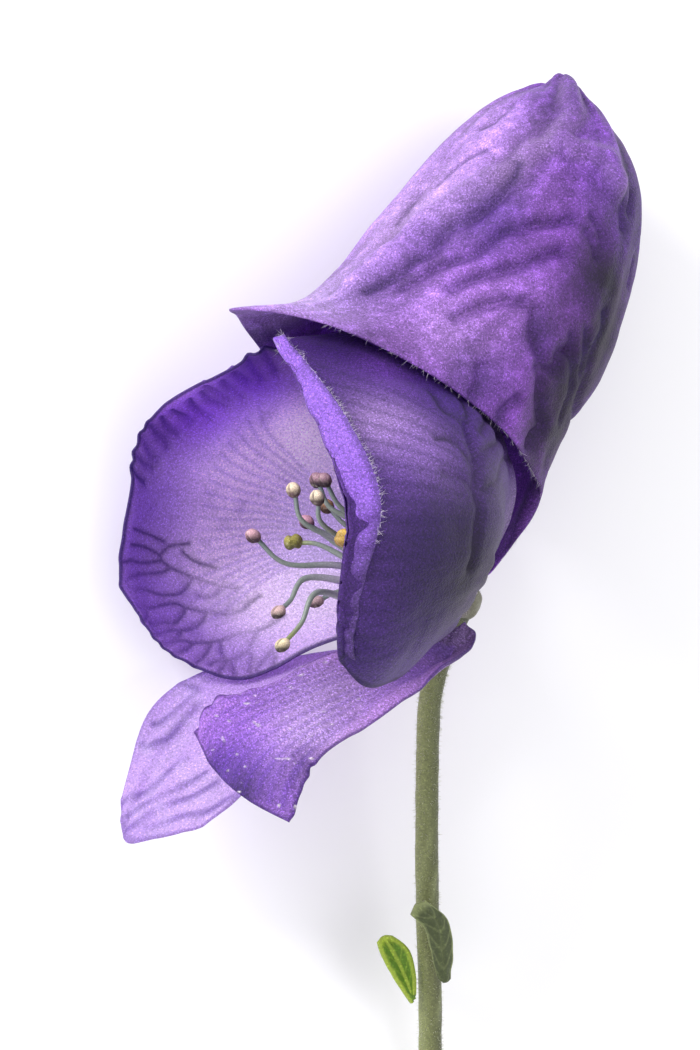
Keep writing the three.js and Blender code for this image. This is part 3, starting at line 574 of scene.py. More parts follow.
def make_piece(name, points, quads, triangles, colours, finish, nodes=(), slot=None):
    """A mesh object from points in the flower's frame, with its colours as an attribute called tint.
    It is turned right side out by the sign of its volume, and rides on the flower."""
    quads = np.asarray(quads, np.int64).reshape(-1, 4)
    triangles = np.asarray(triangles, np.int64).reshape(-1, 3)
    placed = lay_down(points)
    halves = np.concatenate([quads[:, [0, 1, 2]], quads[:, [0, 2, 3]], triangles])
    if signed_volume(placed - placed.mean(0), halves) < 0:
        quads, triangles = quads[:, ::-1], triangles[:, ::-1]
    mesh = bpy.data.meshes.new(name)
    mesh.vertices.add(len(placed))
    mesh.vertices.foreach_set("co", placed.astype(np.float32).ravel())
    corners = np.concatenate([quads.ravel(), triangles.ravel()])
    mesh.loops.add(len(corners))
    mesh.loops.foreach_set("vertex_index", corners.astype(np.int32))
    starts = np.concatenate([
        np.arange(len(quads)) * 4, len(quads) * 4 + np.arange(len(triangles)) * 3,
    ])
    mesh.polygons.add(len(starts))
    mesh.polygons.foreach_set("loop_start", starts.astype(np.int32))
    mesh.update(calc_edges=True)
    mesh.validate()
    mesh.polygons.foreach_set("use_smooth", np.ones(len(mesh.polygons), bool))
    tint = mesh.color_attributes.new("tint", "FLOAT_COLOR", "POINT")
    rgba = np.concatenate([np.clip(colours, 0, 1), np.ones((len(placed), 1))], 1)
    tint.data.foreach_set("color", rgba.astype(np.float32).ravel())
    piece = bpy.data.objects.new(name, mesh)
    bpy.context.scene.collection.objects.link(piece)
    mesh.materials.append(finish)
    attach(piece, "root")
    if nodes:
        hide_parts(*nodes)
    return piece


def grid_quads(rows, columns, closed=False, start=0):
    """The four corners of each square of a grid of points, wrapped round its columns when it closes."""
    i = np.arange(rows - 1)[:, None] * columns
    j = np.arange(columns if closed else columns - 1)
    k = (j + 1) % columns
    return start + np.stack([i + j, i + k, i + columns + k, i + columns + j], -1).reshape(-1, 4)


def strip_quads(upper, lower):
    """Squares that join two runs of points."""
    return np.stack([upper[:-1], upper[1:], lower[1:], lower[:-1]], 1)


def petal(name, net, size, thickness, relief, paint, finish, node, slot, closed=False, inside=(6, 0, 3)):
    """A thin closed shell along a net's surface. The middle surface is moved along its normal by
    relief(points, u, v, outwards), and each face stands half the thickness off it, thinning to the
    margins. paint(points, u, v, outer) colours the two faces."""
    rows, columns = size
    u = np.linspace(0, 1, columns, endpoint=not closed)
    v = np.linspace(0, 1, rows)
    u, v = np.meshgrid(u, v)
    middle = on_net(net, u, v, closed)
    e = 2e-3
    if closed:
        du = on_net(net, u + e, v, True) - on_net(net, u - e, v, True)
    else:
        du = on_net(net, np.minimum(u + e, 1), v) - on_net(net, np.maximum(u - e, 0), v)
    dv = on_net(net, u, np.minimum(v + e, 1), closed) - on_net(net, u, np.maximum(v - e, 0), closed)
    normal = np.cross(du, dv)
    normal /= np.maximum(np.linalg.norm(normal, axis=-1, keepdims=True), 1e-9)
    if (normal * (middle - np.asarray(inside))).sum() < 0:
        normal = -normal
    middle = middle + normal * relief(middle, u, v)[..., None]
    if closed:
        du = np.roll(middle, -1, 1) - np.roll(middle, 1, 1)
    else:
        du = np.gradient(middle, axis=1)
    dv = np.gradient(middle, axis=0)
    fine = np.cross(du, dv)
    fine /= np.maximum(np.linalg.norm(fine, axis=-1, keepdims=True), 1e-9)
    fine *= np.sign((fine * normal).sum(-1, keepdims=True) + 1e-9)
    margin = v if closed else np.minimum(np.minimum(u, 1 - u), 1 - v)
    thin = 0.35 + 0.65 * np.clip(margin / 0.04, 0, 1) ** 0.5
    half = (thickness / 2 * thin)[..., None]
    outer, inner = middle + fine * half, middle - fine * half
    count = rows * columns
    order = np.arange(count).reshape(rows, columns)
    quads = [grid_quads(rows, columns, closed), grid_quads(rows, columns, closed, count)[:, ::-1]]
    triangles = np.zeros((0, 3), int)
    points = np.concatenate([outer.reshape(-1, 3), inner.reshape(-1, 3)])
    colours = np.concatenate([
        paint(middle, u, v, True).reshape(-1, 3), paint(middle, u, v, False).reshape(-1, 3),
    ])
    if closed:
        rim = np.append(order[0], order[0, 0])
        quads.append(strip_quads(rim + count, rim))
        top = np.append(order[-1], order[-1, 0])
        poles = np.array([outer[-1].mean(0) + [0, 0, 0.05], inner[-1].mean(0)])
        points = np.concatenate([points, poles])
        colours = np.concatenate([colours, colours[[order[-1, 0], order[-1, 0] + count]]])
        caps = [np.stack([top[:-1], top[1:], np.full(columns, 2 * count)], 1),
                np.stack([top[1:] + count, top[:-1] + count, np.full(columns, 2 * count + 1)], 1)]
        triangles = np.concatenate(caps)
    else:
        edge = np.concatenate([order[0], order[1:, -1], order[-1, -2::-1], order[-2::-1, 0]])
        quads.append(strip_quads(edge + count, edge))
    return make_piece(name, points, np.concatenate(quads), triangles, colours, finish, [node], slot)


def rod(path, radius, steps, sides):
    """A closed round rod along a smooth path: rings that stay square to it, carried from one to the
    next with the least turn, and a point at each end. radius(share) gives the radii.
    Returns points, quads, triangles and each point's share of the way along."""
    share = np.linspace(0, 1, steps + 1)
    centres = along(path, share)
    heading = np.gradient(centres, axis=0)
    heading /= np.linalg.norm(heading, axis=1, keepdims=True)
    side = np.cross(heading[0], [0.31, 0.17, 0.93])
    ring_sides = []
    for h in heading:
        side = side - h * (side @ h)
        side = side / np.linalg.norm(side)
        ring_sides.append(side)
    ring_sides = np.array(ring_sides)
    other = np.cross(heading, ring_sides)
    turn = 2 * np.pi * np.arange(sides) / sides
    r = np.broadcast_to(radius(share), share.shape)[:, None, None]
    spokes = ring_sides[:, None] * np.cos(turn)[:, None] + other[:, None] * np.sin(turn)[:, None]
    rings = centres[:, None] + r * spokes
    bulge = r[[0, -1], 0] * 0.5
    poles = np.array([centres[0] - heading[0] * bulge[0], centres[-1] + heading[-1] * bulge[1]])
    points = np.concatenate([rings.reshape(-1, 3), poles])
    count = (steps + 1) * sides
    j = np.arange(sides)
    k = (j + 1) % sides
    triangles = np.concatenate([
        np.stack([k, j, np.full(sides, count)], 1),
        np.stack([j + steps * sides, k + steps * sides, np.full(sides, count + 1)], 1),
    ])
    places = np.concatenate([np.repeat(share, sides), [0, 1]])
    return points, grid_quads(steps + 1, sides, True), triangles, places


def hairs(roots, directions, lengths, radius, droop):
    """Three-sided tapering hairs: each is three rings of three points and a tip, bent sideways by the
    square of the share along it. Returns points and triangles."""
    roots, directions = np.asarray(roots, float), np.asarray(directions, float)
    directions = directions / np.linalg.norm(directions, axis=1, keepdims=True)
    side = np.cross(directions, [0.27, 0.64, 0.72])
    side /= np.linalg.norm(side, axis=1, keepdims=True)
    other = np.cross(directions, side)
    lengths = np.asarray(lengths, float)[:, None]
    rings = []
    for share, width in ((0.0, 1.0), (0.4, 0.8), (0.75, 0.5)):
        centre = roots + directions * lengths * share + droop * lengths * share ** 2
        for k in range(3):
            turn = 2 * math.pi * k / 3
            rings.append(centre + radius * width * (side * math.cos(turn) + other * math.sin(turn)))
    rings.append(roots + directions * lengths + droop * lengths)
    points = np.stack(rings, 1)
    one = []
    for ring in (0, 3):
        for k in range(3):
            a, b = ring + k, ring + (k + 1) % 3
            one += [(a, b, b + 3), (a, b + 3, a + 3)]
    one += [(6, 7, 9), (7, 8, 9), (8, 6, 9), (0, 2, 1)]
    base = np.arange(len(roots))[:, None, None] * 10
    return points.reshape(-1, 3), (base + np.array(one)).reshape(-1, 3)


def joined(parts):
    """Several (points, quads, triangles, colours) groups as one."""
    points, quads, triangles, colours = [], [], [], []
    start = 0
    for p, q, t, c in parts:
        points.append(p)
        quads.append(np.asarray(q, int).reshape(-1, 4) + start)
        triangles.append(np.asarray(t, int).reshape(-1, 3) + start)
        colours.append(c)
        start += len(p)
    return tuple(np.concatenate(group) for group in (points, quads, triangles, colours))


# ---------------------------------------------------------------- finishes


def finish(name, roughness, through, grain, grain_depth, speckle, sheen=0.0, specular=0.5):
    """A material that takes its colour from tint, broken up by fine grains of a size in mm whose contrast is speckle,
    with the same grains as bump, and brightened in sparse spots by painted glints. through is the share of light let
    through."""
    material = bpy.data.materials.new(name)
    material.use_nodes = True
    nodes, links = material.node_tree.nodes, material.node_tree.links
    nodes.clear()
    tint = nodes.new("ShaderNodeAttribute")
    tint.attribute_name = "tint"
    place = nodes.new("ShaderNodeTexCoord")
    fine = nodes.new("ShaderNodeTexNoise")
    fine.inputs["Scale"].default_value = 1 / (grain * MM)
    fine.inputs["Detail"].default_value = 2.0
    fine.inputs["Roughness"].default_value = 0.7
    links.new(place.outputs["Object"], fine.inputs["Vector"])
    level = nodes.new("ShaderNodeMapRange")
    level.inputs["From Min"].default_value = 0.3
    level.inputs["From Max"].default_value = 0.7
    level.inputs["To Min"].default_value = 1 - speckle
    level.inputs["To Max"].default_value = 1 + speckle
    links.new(fine.outputs["Fac"], level.inputs["Value"])
    # Painted glints: sparse bright spots added to the base colour's level stand for the sparkle of the surface.
    glints = nodes.new("ShaderNodeTexNoise")
    glints.inputs["Scale"].default_value = 1.7 / (grain * MM)
    glints.inputs["Detail"].default_value = 0.0
    links.new(place.outputs["Object"], glints.inputs["Vector"])
    painted_glints_level = nodes.new("ShaderNodeMapRange")
    painted_glints_level.inputs["From Min"].default_value = 0.60
    painted_glints_level.inputs["From Max"].default_value = 0.74
    painted_glints_level.inputs["To Max"].default_value = 2.2 * speckle
    links.new(glints.outputs["Fac"], painted_glints_level.inputs["Value"])
    total = nodes.new("ShaderNodeMath")
    total.operation = "ADD"
    links.new(level.outputs["Result"], total.inputs[0])
    links.new(painted_glints_level.outputs["Result"], total.inputs[1])
    scaled = nodes.new("ShaderNodeVectorMath")
    scaled.operation = "SCALE"
    links.new(tint.outputs["Color"], scaled.inputs[0])
    links.new(total.outputs["Value"], scaled.inputs["Scale"])
    bump = nodes.new("ShaderNodeBump")
    bump.inputs["Strength"].default_value = 1.0
    bump.inputs["Distance"].default_value = grain_depth * MM
    links.new(fine.outputs["Fac"], bump.inputs["Height"])
    body = nodes.new("ShaderNodeBsdfPrincipled")
    body.inputs["Roughness"].default_value = roughness
    body.inputs["Specular IOR Level"].default_value = specular
    body.inputs["Sheen Weight"].default_value = sheen
    body.inputs["Sheen Roughness"].default_value = 0.4
    links.new(scaled.outputs["Vector"], body.inputs["Base Color"])
    links.new(bump.outputs["Normal"], body.inputs["Normal"])
    out = nodes.new("ShaderNodeOutputMaterial")
    if through > 0:
        glow = nodes.new("ShaderNodeBsdfTranslucent")
        links.new(scaled.outputs["Vector"], glow.inputs["Color"])
        links.new(bump.outputs["Normal"], glow.inputs["Normal"])
        both = nodes.new("ShaderNodeMixShader")
        both.inputs["Fac"].default_value = through
        links.new(body.outputs["BSDF"], both.inputs[1])
        links.new(glow.outputs["BSDF"], both.inputs[2])
        links.new(both.outputs["Shader"], out.inputs["Surface"])
    else:
        links.new(body.outputs["BSDF"], out.inputs["Surface"])
    return material


# ---------------------------------------------------------------- settings


def colour_prop(name, description, default):
    """A colour that a user may change, kept as screen colour."""
    return bpy.props.FloatVectorProperty(
        name=name, description=description, subtype="COLOR_GAMMA", size=3, min=0, max=1,
        default=tuple(int(default[i:i + 2], 16) / 255 for i in (0, 2, 4)))


def length_prop(name, description, default, low, high):
    """A length in millimetres."""
    return bpy.props.FloatProperty(name=name, description=description, default=default, min=low, max=high)


class MonkshoodPetals(bpy.types.PropertyGroup):
    """Sizes and colours of the five petal-like sepals."""

    hood_wall: length_prop("Hood wall", "Thickness of the hood's wall in mm", 0.26, 0.1, 0.4)
    sepal_wall: length_prop("Sepal wall", "Thickness of the other sepals in mm", 0.22, 0.1, 0.36)
    wrinkle: length_prop("Wrinkles", "Height of the sepals' wrinkles in mm", 0.12, 0.0, 0.3)
    grain: length_prop("Grain", "Size of the surface's fine grains in mm", 0.13, 0.05, 1.0)
    through: bpy.props.FloatProperty(
        name="Light through", description="Share of light that the petals let through",
        default=0.38, min=0, max=1, subtype="FACTOR")
    hood: colour_prop("Hood", "Colour of the hood", "9655cb")
    near: colour_prop("Left lateral sepal", "Colour of the left lateral sepal's outer face", "62359e")
    far: colour_prop("Right lateral sepal", "Colour of the right lateral sepal", "d4a8f4")
    lower: colour_prop("Lower sepals", "Colour of the two lower sepals", "b884dc")
    # Also the colour of the painted shade in the hood's grooves and rear creases.
    vein: colour_prop("Veins", "Colour of the veins and rims", "2e1462")


class MonkshoodHeart(bpy.types.PropertyGroup):
    """Sizes and colours of the stamens, carpels and nectaries."""

    anther: length_prop("Anther", "Length of an anther in mm", 0.92, 0.5, 1.2)
    filament_foot: length_prop("Filament foot", "Radius of a filament at its foot in mm", 0.3, 0.1, 0.4)
    filament_tip: length_prop("Filament tip", "Radius of a filament at its anther in mm", 0.12, 0.05, 0.3)
    foot_colour: colour_prop("Filament foot", "Colour of the filaments' feet", "d5c8e2")
    tip_colour: colour_prop("Filament", "Colour of the filaments", "9aa49c")
    carpel: colour_prop("Carpels", "Colour of the carpels", "a9b95c")
    nectary: colour_prop("Nectaries", "Colour of the nectaries", "b7a7d6")


class MonkshoodStalk(bpy.types.PropertyGroup):
    """Sizes and colours of the stalk, the bracteoles and the fuzz."""

    radius: length_prop("Stalk radius", "Radius of the stalk in mm", 0.57, 0.3, 0.7)
    fuzz: length_prop("Fuzz", "Length of the stalk's fuzz in mm", 0.17, 0.0, 0.4)
    green: colour_prop("Stalk", "Colour of the stalk", "63683f")
    leaf: colour_prop("Bracteoles", "Colour of the bracteoles", "7f9a45")


class MonkshoodStage(bpy.types.PropertyGroup):
    """The floor, the light and the camera."""

    floor: colour_prop("Floor", "Colour of the floor", "f6f6f8")
    key: bpy.props.FloatProperty(name="Key light", description="Power of the large soft light",
                                 default=0.21, min=0, unit="POWER")
    air: bpy.props.FloatProperty(name="Surroundings", description="Strength of the light all round",
                                 default=0.95, min=0)
    distance: bpy.props.FloatProperty(name="Camera distance", description="Camera to the flower's middle",
                                      default=0.3, min=0.05, unit="LENGTH")


def posed(axes, spot):
    """The matrix of an object whose own x, y and z point along three axes, at a spot."""
    matrix = Matrix.Identity(4)
    for i, column in enumerate((*axes, spot)):
        for row in range(3):
            matrix[row][i] = column[row]
    return matrix


def screen(colour):
    """A colour property as linear light."""
    c = np.array(colour[:])
    return np.where(c <= 0.04045, c / 12.92, ((c + 0.055) / 1.055) ** 2.4)


# ---------------------------------------------------------------- looks of the sepals


# How much of the light each sepal's colours keep, against the same colours on a flat card.
HOOD_DEPTH = 0.68
NEAR_DEPTH = 0.56
FAR_DEPTH = 1.0
LOWER_DEPTH = 0.92
FAN_DEPTH = 1.0


def wrinkles(points, u, v, height, seed):
    """Broad, middling and fine ripples, summed, each about half as high as the one before."""
    return height * (ripple(points, 2.6, seed) + 0.5 * ripple(points, 1.15, seed + 1)
                     + 0.26 * ripple(points, 0.55, seed + 2))


def rolled(points, runs, width):
    """The strongest of several lines' bell curves."""
    field = np.zeros(points.shape[:-1])
    for run in runs:
        field = np.maximum(field, near_line(points, run, width))
    return field


def veined(points, colours, runs, width, colour, strength):
    """Colours moved towards a vein colour along runs of points."""
    return blend(colours, colour, strength * rolled(points, runs, width))


def hood_surface(props):
    """The hood: lengthwise folds as ridges and grooves along its own lines, pleats that run from the
    crown to the rim as ripples stretched along v, and cross wrinkles."""
    net = hood_net()
    ridges = lines_on(net, HOOD_RIDGES, True)
    grooves = lines_on(net, HOOD_GROOVES, True)
    rear = lines_on(net, HOOD_REAR, True)
    streaks = lines_on(net, HOOD_STREAKS, True)

    def pleats(u, v, seed, count, bend):
        """Ripples with about that many pleats round the hood, stretched along v."""
        turn = 2 * np.pi * u
        flat = np.stack([count * np.cos(turn) / 6.283, count * np.sin(turn) / 6.283, v * bend], -1)
        return ripple(flat, 1.0, seed)

    def relief(p, u, v):
        amount = wrinkles(p, u, v, props.wrinkle * 0.55, 11) + 0.20 * pleats(u, v, 21, 20, 3)
        amount += 0.10 * pleats(u, v, 22, 52, 6)
        amount += 0.55 * rolled(p, ridges, (0.5, 0.75)) - 0.42 * rolled(p, grooves, 0.38)
        amount -= 0.22 * rolled(p, rear, 0.3) + 0.1 * rolled(p, streaks, 0.3)
        return amount * np.clip(v / 0.03, 0.3, 1) * np.clip((1 - v) / 0.06, 0.15, 1)

    def paint(p, u, v, outer):
        colours = np.broadcast_to(screen(props.hood), p.shape).copy()
        colours = patches(p, net, colours, HOOD_TONE_AND_LIGHTING_ZONES, True)
        # Painted light and shade: the colour follows the same pleats as the relief, lighter on their raised folds and
        # darker in their valleys.
        colours = colours * (1 + 0.35 * pleats(u, v, 21, 20, 3) + 0.30 * pleats(u, v, 22, 52, 6))[..., None]
        colours = blend(colours, screen(props.vein), 0.35 * np.clip(pleats(u, v, 31, 60, 5), 0, 1))
        colours = colours * (1 + 0.7 * np.clip(ripple(p, 0.35, 33), 0, 1))[..., None]
        # Painted highlight: the raised ridges are lightened along their crests.
        colours = blend(colours, linear("d8b0fb"), 0.72 * rolled(p, ridges, (0.4, 0.6)))
        # The grooves and the rear creases take the vein colour, partly as the dark of the veins along them and partly
        # as painted shade in the creases.
        colours = blend(colours, screen(props.vein), 0.82 * rolled(p, grooves, 0.42))
        colours = blend(colours, screen(props.vein), 0.85 * rolled(p, rear, 0.28))
        colours = blend(colours, screen(props.vein), 0.6 * rolled(p, streaks, 0.24))
        # Painted shade: the inner face, inside the hollow hood, is darkened.
        if not outer:
            colours = blend(colours, linear("3d1f70"), np.full(u.shape, 0.35))
        return colours * HOOD_DEPTH

    return net, relief, paint


def left_lateral(props):
    """The left lateral sepal: a deep cup with a lengthwise fold at its rear and a rolled front margin."""
    net = np.array(LEFT_LATERAL_RIBS)
    fold = lines_on(net, [NEAR_FOLD])
    veins = lines_on(net, NEAR_VEINS)
    fan = [[(0.5 + (k - 8.5) * 0.012, 0.22), (0.5 + (k - 8.5) * 0.030, 0.45),
            (0.5 + (k - 8.5) * 0.048, 0.72)] for k in range(18)]
    rays = lines_on(net, fan)

    def relief(p, u, v):
        amount = wrinkles(p, u, v, props.wrinkle * 0.75, 41)
        amount += 0.1 * ripple(np.stack([u * 24, v * 4, 0 * u], -1), 1.0, 44)
        amount -= 0.30 * rolled(p, fold, 0.38) + 0.12 * rolled(p, veins, 0.25)
        crinkle = ripple(np.stack([u * 26, v * 3, 0 * u], -1), 1.0, 45) * np.clip((v - 0.78) / 0.15, 0, 1)
        amount += 0.34 * np.clip((v - 0.76) / 0.1, 0, 1) * np.clip((0.75 - u) / 0.2, 0.3, 1)
        return (amount + 0.22 * crinkle) * np.clip(v / 0.08, 0, 1)

    def paint(p, u, v, outer):
        colours = np.broadcast_to(screen(props.near), p.shape).copy()
        colours = patches(p, net, colours, NEAR_TONE_AND_LIGHTING_ZONES)
        colours = veined(p, colours, rays, 0.16, screen(props.vein), 0.35)
        colours = veined(p, colours, veins, 0.2, linear("1d0d3c"), 0.8)
        # Painted shade: the dark line along the rear fold stands for the shade in the crease.
        colours = veined(p, colours, fold, 0.3, linear("180b33"), 0.6)
        # Painted light: the thin rear lobe behind the fold is lightened in blotches, for light shining through it from
        # behind.
        rear = np.clip((0.40 - v) / 0.05, 0, 1)
        backlit_blotches = 0.5 + 0.5 * ripple(p, 1.3, 47)
        colours = blend(colours, linear("7e62a8"), 0.35 * rear * backlit_blotches * np.clip((v - 0.12) / 0.1, 0, 1))
        band = np.clip((v - 0.83) / 0.05, 0, 1) * np.clip((u - 0.3) / 0.25, 0, 1)
        colours = blend(colours, linear("a56cf2"), 0.75 * band * (0.7 + 0.3 * ripple(p, 0.9, 48)))
        # Painted shadow: the dark lines at the free edge of the rolled front margin and along the lower margin stand
        # for the shadow each rolled edge casts on the outer face.
        rim = np.clip((v - 0.965) / 0.02, 0, 1) + np.clip((0.03 - u) / 0.015, 0, 1)
        colours = blend(colours, linear("2a1158"), 0.75 * rim)
        if not outer:
            colours = blend(colours, linear("9a70d8"), np.full(u.shape, 0.4))
        return colours * NEAR_DEPTH * (1 + 0.7 * band)[..., None]

    return net, relief, paint


def right_lateral(props):
    """The right lateral sepal: a pale bowl with a branching net of dark veins and a wrinkled upper margin."""
    net = np.array(RIGHT_LATERAL_RIBS)
    veins = lines_on(net, FAR_VEINS)
    folds = lines_on(net, FAR_WRINKLES)
    fan = [[(0.52 + (k - 9) * 0.010, 0.2), (0.53 + (k - 9) * 0.022, 0.42),
            (0.55 + (k - 9) * 0.036, 0.62)] for k in range(19)]
    rays = lines_on(net, fan)

    def relief(p, u, v):
        amount = wrinkles(p, u, v, props.wrinkle * 0.55, 61)
        amount += 0.10 * rolled(p, veins, 0.22) + 0.22 * rolled(p, folds, 0.26)
        wave = ripple(np.stack([u * 9, v * 2, 0 * u], -1), 1.0, 64) * np.clip((v - 0.7) / 0.3, 0, 1)
        return (amount + 0.3 * wave) * np.clip(v / 0.08, 0, 1)

    def paint(p, u, v, outer):
        colours = np.broadcast_to(screen(props.far), p.shape).copy()
        colours = patches(p, net, colours, FAR_TONE_AND_GLOW_ZONES)
        colours = veined(p, colours, rays, 0.1, linear("8a63c4"), 0.35)
        colours = veined(p, colours, veins, 0.15, screen(props.vein), 0.72)
        colours = veined(p, colours, folds, 0.2, linear("34107a"), 0.8)
        colours = blend(colours, linear("6f3dae"), 0.25 * np.clip(ripple(p, 0.9, 66), 0, 1) * (v > 0.5))
        edge = np.minimum(np.minimum(u, 1 - u) * 1.3, 1 - v)
        colours = blend(colours, linear("3a2a6e"), 0.85 * np.clip((0.02 - edge) / 0.012, 0, 1))
        return colours * FAR_DEPTH

    return net, relief, paint


def left_lower(props):
    """The left lower sepal: a tongue with a rolled outer margin and a dark rim below its tip."""
    net = np.array(LEFT_LOWER_RIBS)
    roll = lines_on(net, [LOWER_ROLL])
    rays = lines_on(net, [[(0.5 + (k - 5) * 0.03, 0.12), (0.45 + (k - 5) * 0.075, 0.5),
                           (0.42 + (k - 5) * 0.1, 0.95)] for k in range(11)])

    def relief(p, u, v):
        amount = wrinkles(p, u, v, props.wrinkle * 0.8, 71)
        amount += 0.07 * ripple(np.stack([u * 11, v * 5, 0 * u], -1), 1.0, 74)
        amount += 0.22 * rolled(p, roll, 0.4) - 0.05 * rolled(p, rays, 0.2)
        frill = ripple(np.stack([u * 7, v * 22, 0 * u], -1), 1.0, 75) * np.clip((np.abs(u - 0.5) - 0.36) / 0.14, 0, 1)
        return (amount + 0.2 * frill) * np.clip(v / 0.08, 0, 1)

    def paint(p, u, v, outer):
        colours = np.broadcast_to(screen(props.lower), p.shape).copy()
        colours = patches(p, net, colours, LOWER_ZONES)
        colours = veined(p, colours, rays, 0.14, linear("5a2fa6"), 0.35)
        colours = veined(p, colours, roll, 0.22, linear("4a2590"), 0.55)
        edge = np.minimum(np.minimum(u, 1 - u) * 0.7, 1 - v)
        colours = blend(colours, linear("3b1a70"), 0.7 * np.clip((0.022 - edge) / 0.015, 0, 1))
        # Near-white specks over the outer half.
        pale_specks = np.clip(ripple(p, (0.2, 0.32, 0.2), 78) - 0.73, 0, 0.2) * 5 * (v > 0.45)
        return blend(colours, linear("f6eef0"), 0.8 * pale_specks) * LOWER_DEPTH

    return net, relief, paint


def right_lower(props):
    """The right lower sepal: a pale thin fan, crossed by slanting veins, with a pale rim."""
    net = np.array(RIGHT_LOWER_RIBS)
    veins = lines_on(net, FAN_VEINS)

    def relief(p, u, v):
        amount = wrinkles(p, u, v, props.wrinkle * 0.6, 81) - 0.08 * rolled(p, veins, 0.25)
        amount += 0.12 * ripple(np.stack([u * 12, v * 4, 0 * u], -1), 1.0, 84)
        return amount * np.clip(v / 0.08, 0, 1)

    def paint(p, u, v, outer):
        colours = np.broadcast_to(screen(props.lower), p.shape).copy()
        colours = patches(p, net, colours, FAN_ZONES)
        colours = blend(colours, linear("ecdcfb"), np.full(u.shape, 0.4))
        colours = veined(p, colours, veins, 0.18, linear("5a3a98"), 0.65)
        colours = blend(colours, linear("e3d2f4"), 0.3 * np.clip(ripple(p, 0.7, 86), 0, 1))
        edge = np.minimum(np.minimum(u, 1 - u) * 0.7, 1 - v)
        return blend(colours, linear("8d72b8"), 0.6 * np.clip((0.02 - edge) / 0.012, 0, 1)) * FAN_DEPTH

    return net, relief, paint


# ---------------------------------------------------------------- operators


class MONKSHOOD_OT_hood(bpy.types.Operator):
    """Build the hood"""

    bl_idname = "monkshood.hood"
    bl_label = "Hood"

    def execute(self, context):
        props = context.scene.monkshood_petals
        net, relief, paint = hood_surface(props)
        look = finish("hood_petal", 0.42, props.through * 0.8, props.grain, 0.09, 0.42, sheen=0.05, specular=0.35)
        petal("hood_petal", net, (206, 214), props.hood_wall, relief, paint, look, "hood",
              "hood_violet", closed=True, inside=tuple(net.reshape(-1, 3).mean(0)))
        return {"FINISHED"}


class MONKSHOOD_OT_sepals(bpy.types.Operator):
    """Build the two lateral and the two lower sepals"""

    bl_idname = "monkshood.sepals"
    bl_label = "Sepals"

    def execute(self, context):
        props = context.scene.monkshood_petals
        deep = finish("left_sepal", 0.45, props.through * 0.7, props.grain, 0.09, 0.45, sheen=0.05, specular=0.35)
        pale = finish("right_sepal", 0.5, props.through * 1.3, props.grain, 0.06, 0.24, sheen=0.05, specular=0.3)
        for name, make, size, look, node, slot in (
            ("left_lateral_petal", left_lateral, (180, 190), deep, "left_lateral_sepal", "sepal_violet"),
            ("right_lateral_petal", right_lateral, (180, 190), pale, "right_lateral_sepal", "pale_sepal_violet"),
            ("left_lower_petal", left_lower, (170, 110), deep, "left_lower_sepal", "sepal_violet"),
            ("right_lower_petal", right_lower, (170, 110), pale, "right_lower_sepal", "pale_sepal_violet"),
        ):
            net, relief, paint = make(props)
            petal(name, net, size, props.sepal_wall, relief, paint, look, node, slot)
        return {"FINISHED"}


def egg(centre, lengthwise, radii, colours, seed):
    """A two-lobed anther: a sphere drawn out along its length, with a groove down each flat side, a
    waist across it and pollen grains as ripples. Its upper half takes the first colour, and its
    underside and grooves take the second, as painted shade."""
    rows, columns = 22, 28
    tilt = np.linspace(0, np.pi, rows)[:, None]
    turn = (2 * np.pi * np.arange(columns) / columns)[None]
    groove = np.exp(-(np.sin(turn) / 0.36) ** 2) * np.sin(tilt) ** 0.7
    along_axis = np.cos(tilt) * np.ones_like(turn)
    size = 1 + 0.1 * np.abs(np.sin(turn)) - 0.34 * groove
    cross_a, cross_b = np.sin(tilt) * np.cos(turn) * size, np.sin(tilt) * np.sin(turn) * size
    length = np.asarray(lengthwise, float) / np.linalg.norm(lengthwise)
    side = np.cross(length, [0.0, 1.0, 0.15])
    side /= np.linalg.norm(side)
    other = np.cross(length, side)
    local = (along_axis[..., None] * length * radii[0] + cross_a[..., None] * side * radii[1]
             + cross_b[..., None] * other * radii[2])
    local *= (1 + 0.05 * ripple(local + seed, 0.13, seed))[..., None]
    body = np.concatenate([local[1:-1].reshape(-1, 3), [local[0, 0], local[-1, 0]]])
    count = (rows - 2) * columns
    j = np.arange(columns)
    k = (j + 1) % columns
    caps = np.concatenate([
        np.stack([j, k, np.full(columns, count)], 1),
        np.stack([k + count - columns, j + count - columns, np.full(columns, count + 1)], 1)])
    bright, dark = linear(colours[0]), linear(colours[1])
    tone = np.broadcast_to(bright, body.shape).copy()
    # Painted shade: the underside and the grooves are darkened towards the second colour.
    underside_shade = np.clip(0.5 - body[:, 2] / radii[1], 0, 1) * 0.95
    shade = np.append(groove[1:-1].ravel(), [0, 0])
    tone = blend(tone, dark, np.maximum(underside_shade, 0.85 * shade))
    tone = blend(tone, linear("f3e6d2"), 0.4 * np.clip(ripple(body + seed, 0.11, seed + 5) - 0.2, 0, 1))
    return body + centre, grid_quads(rows - 2, columns, True), caps, tone


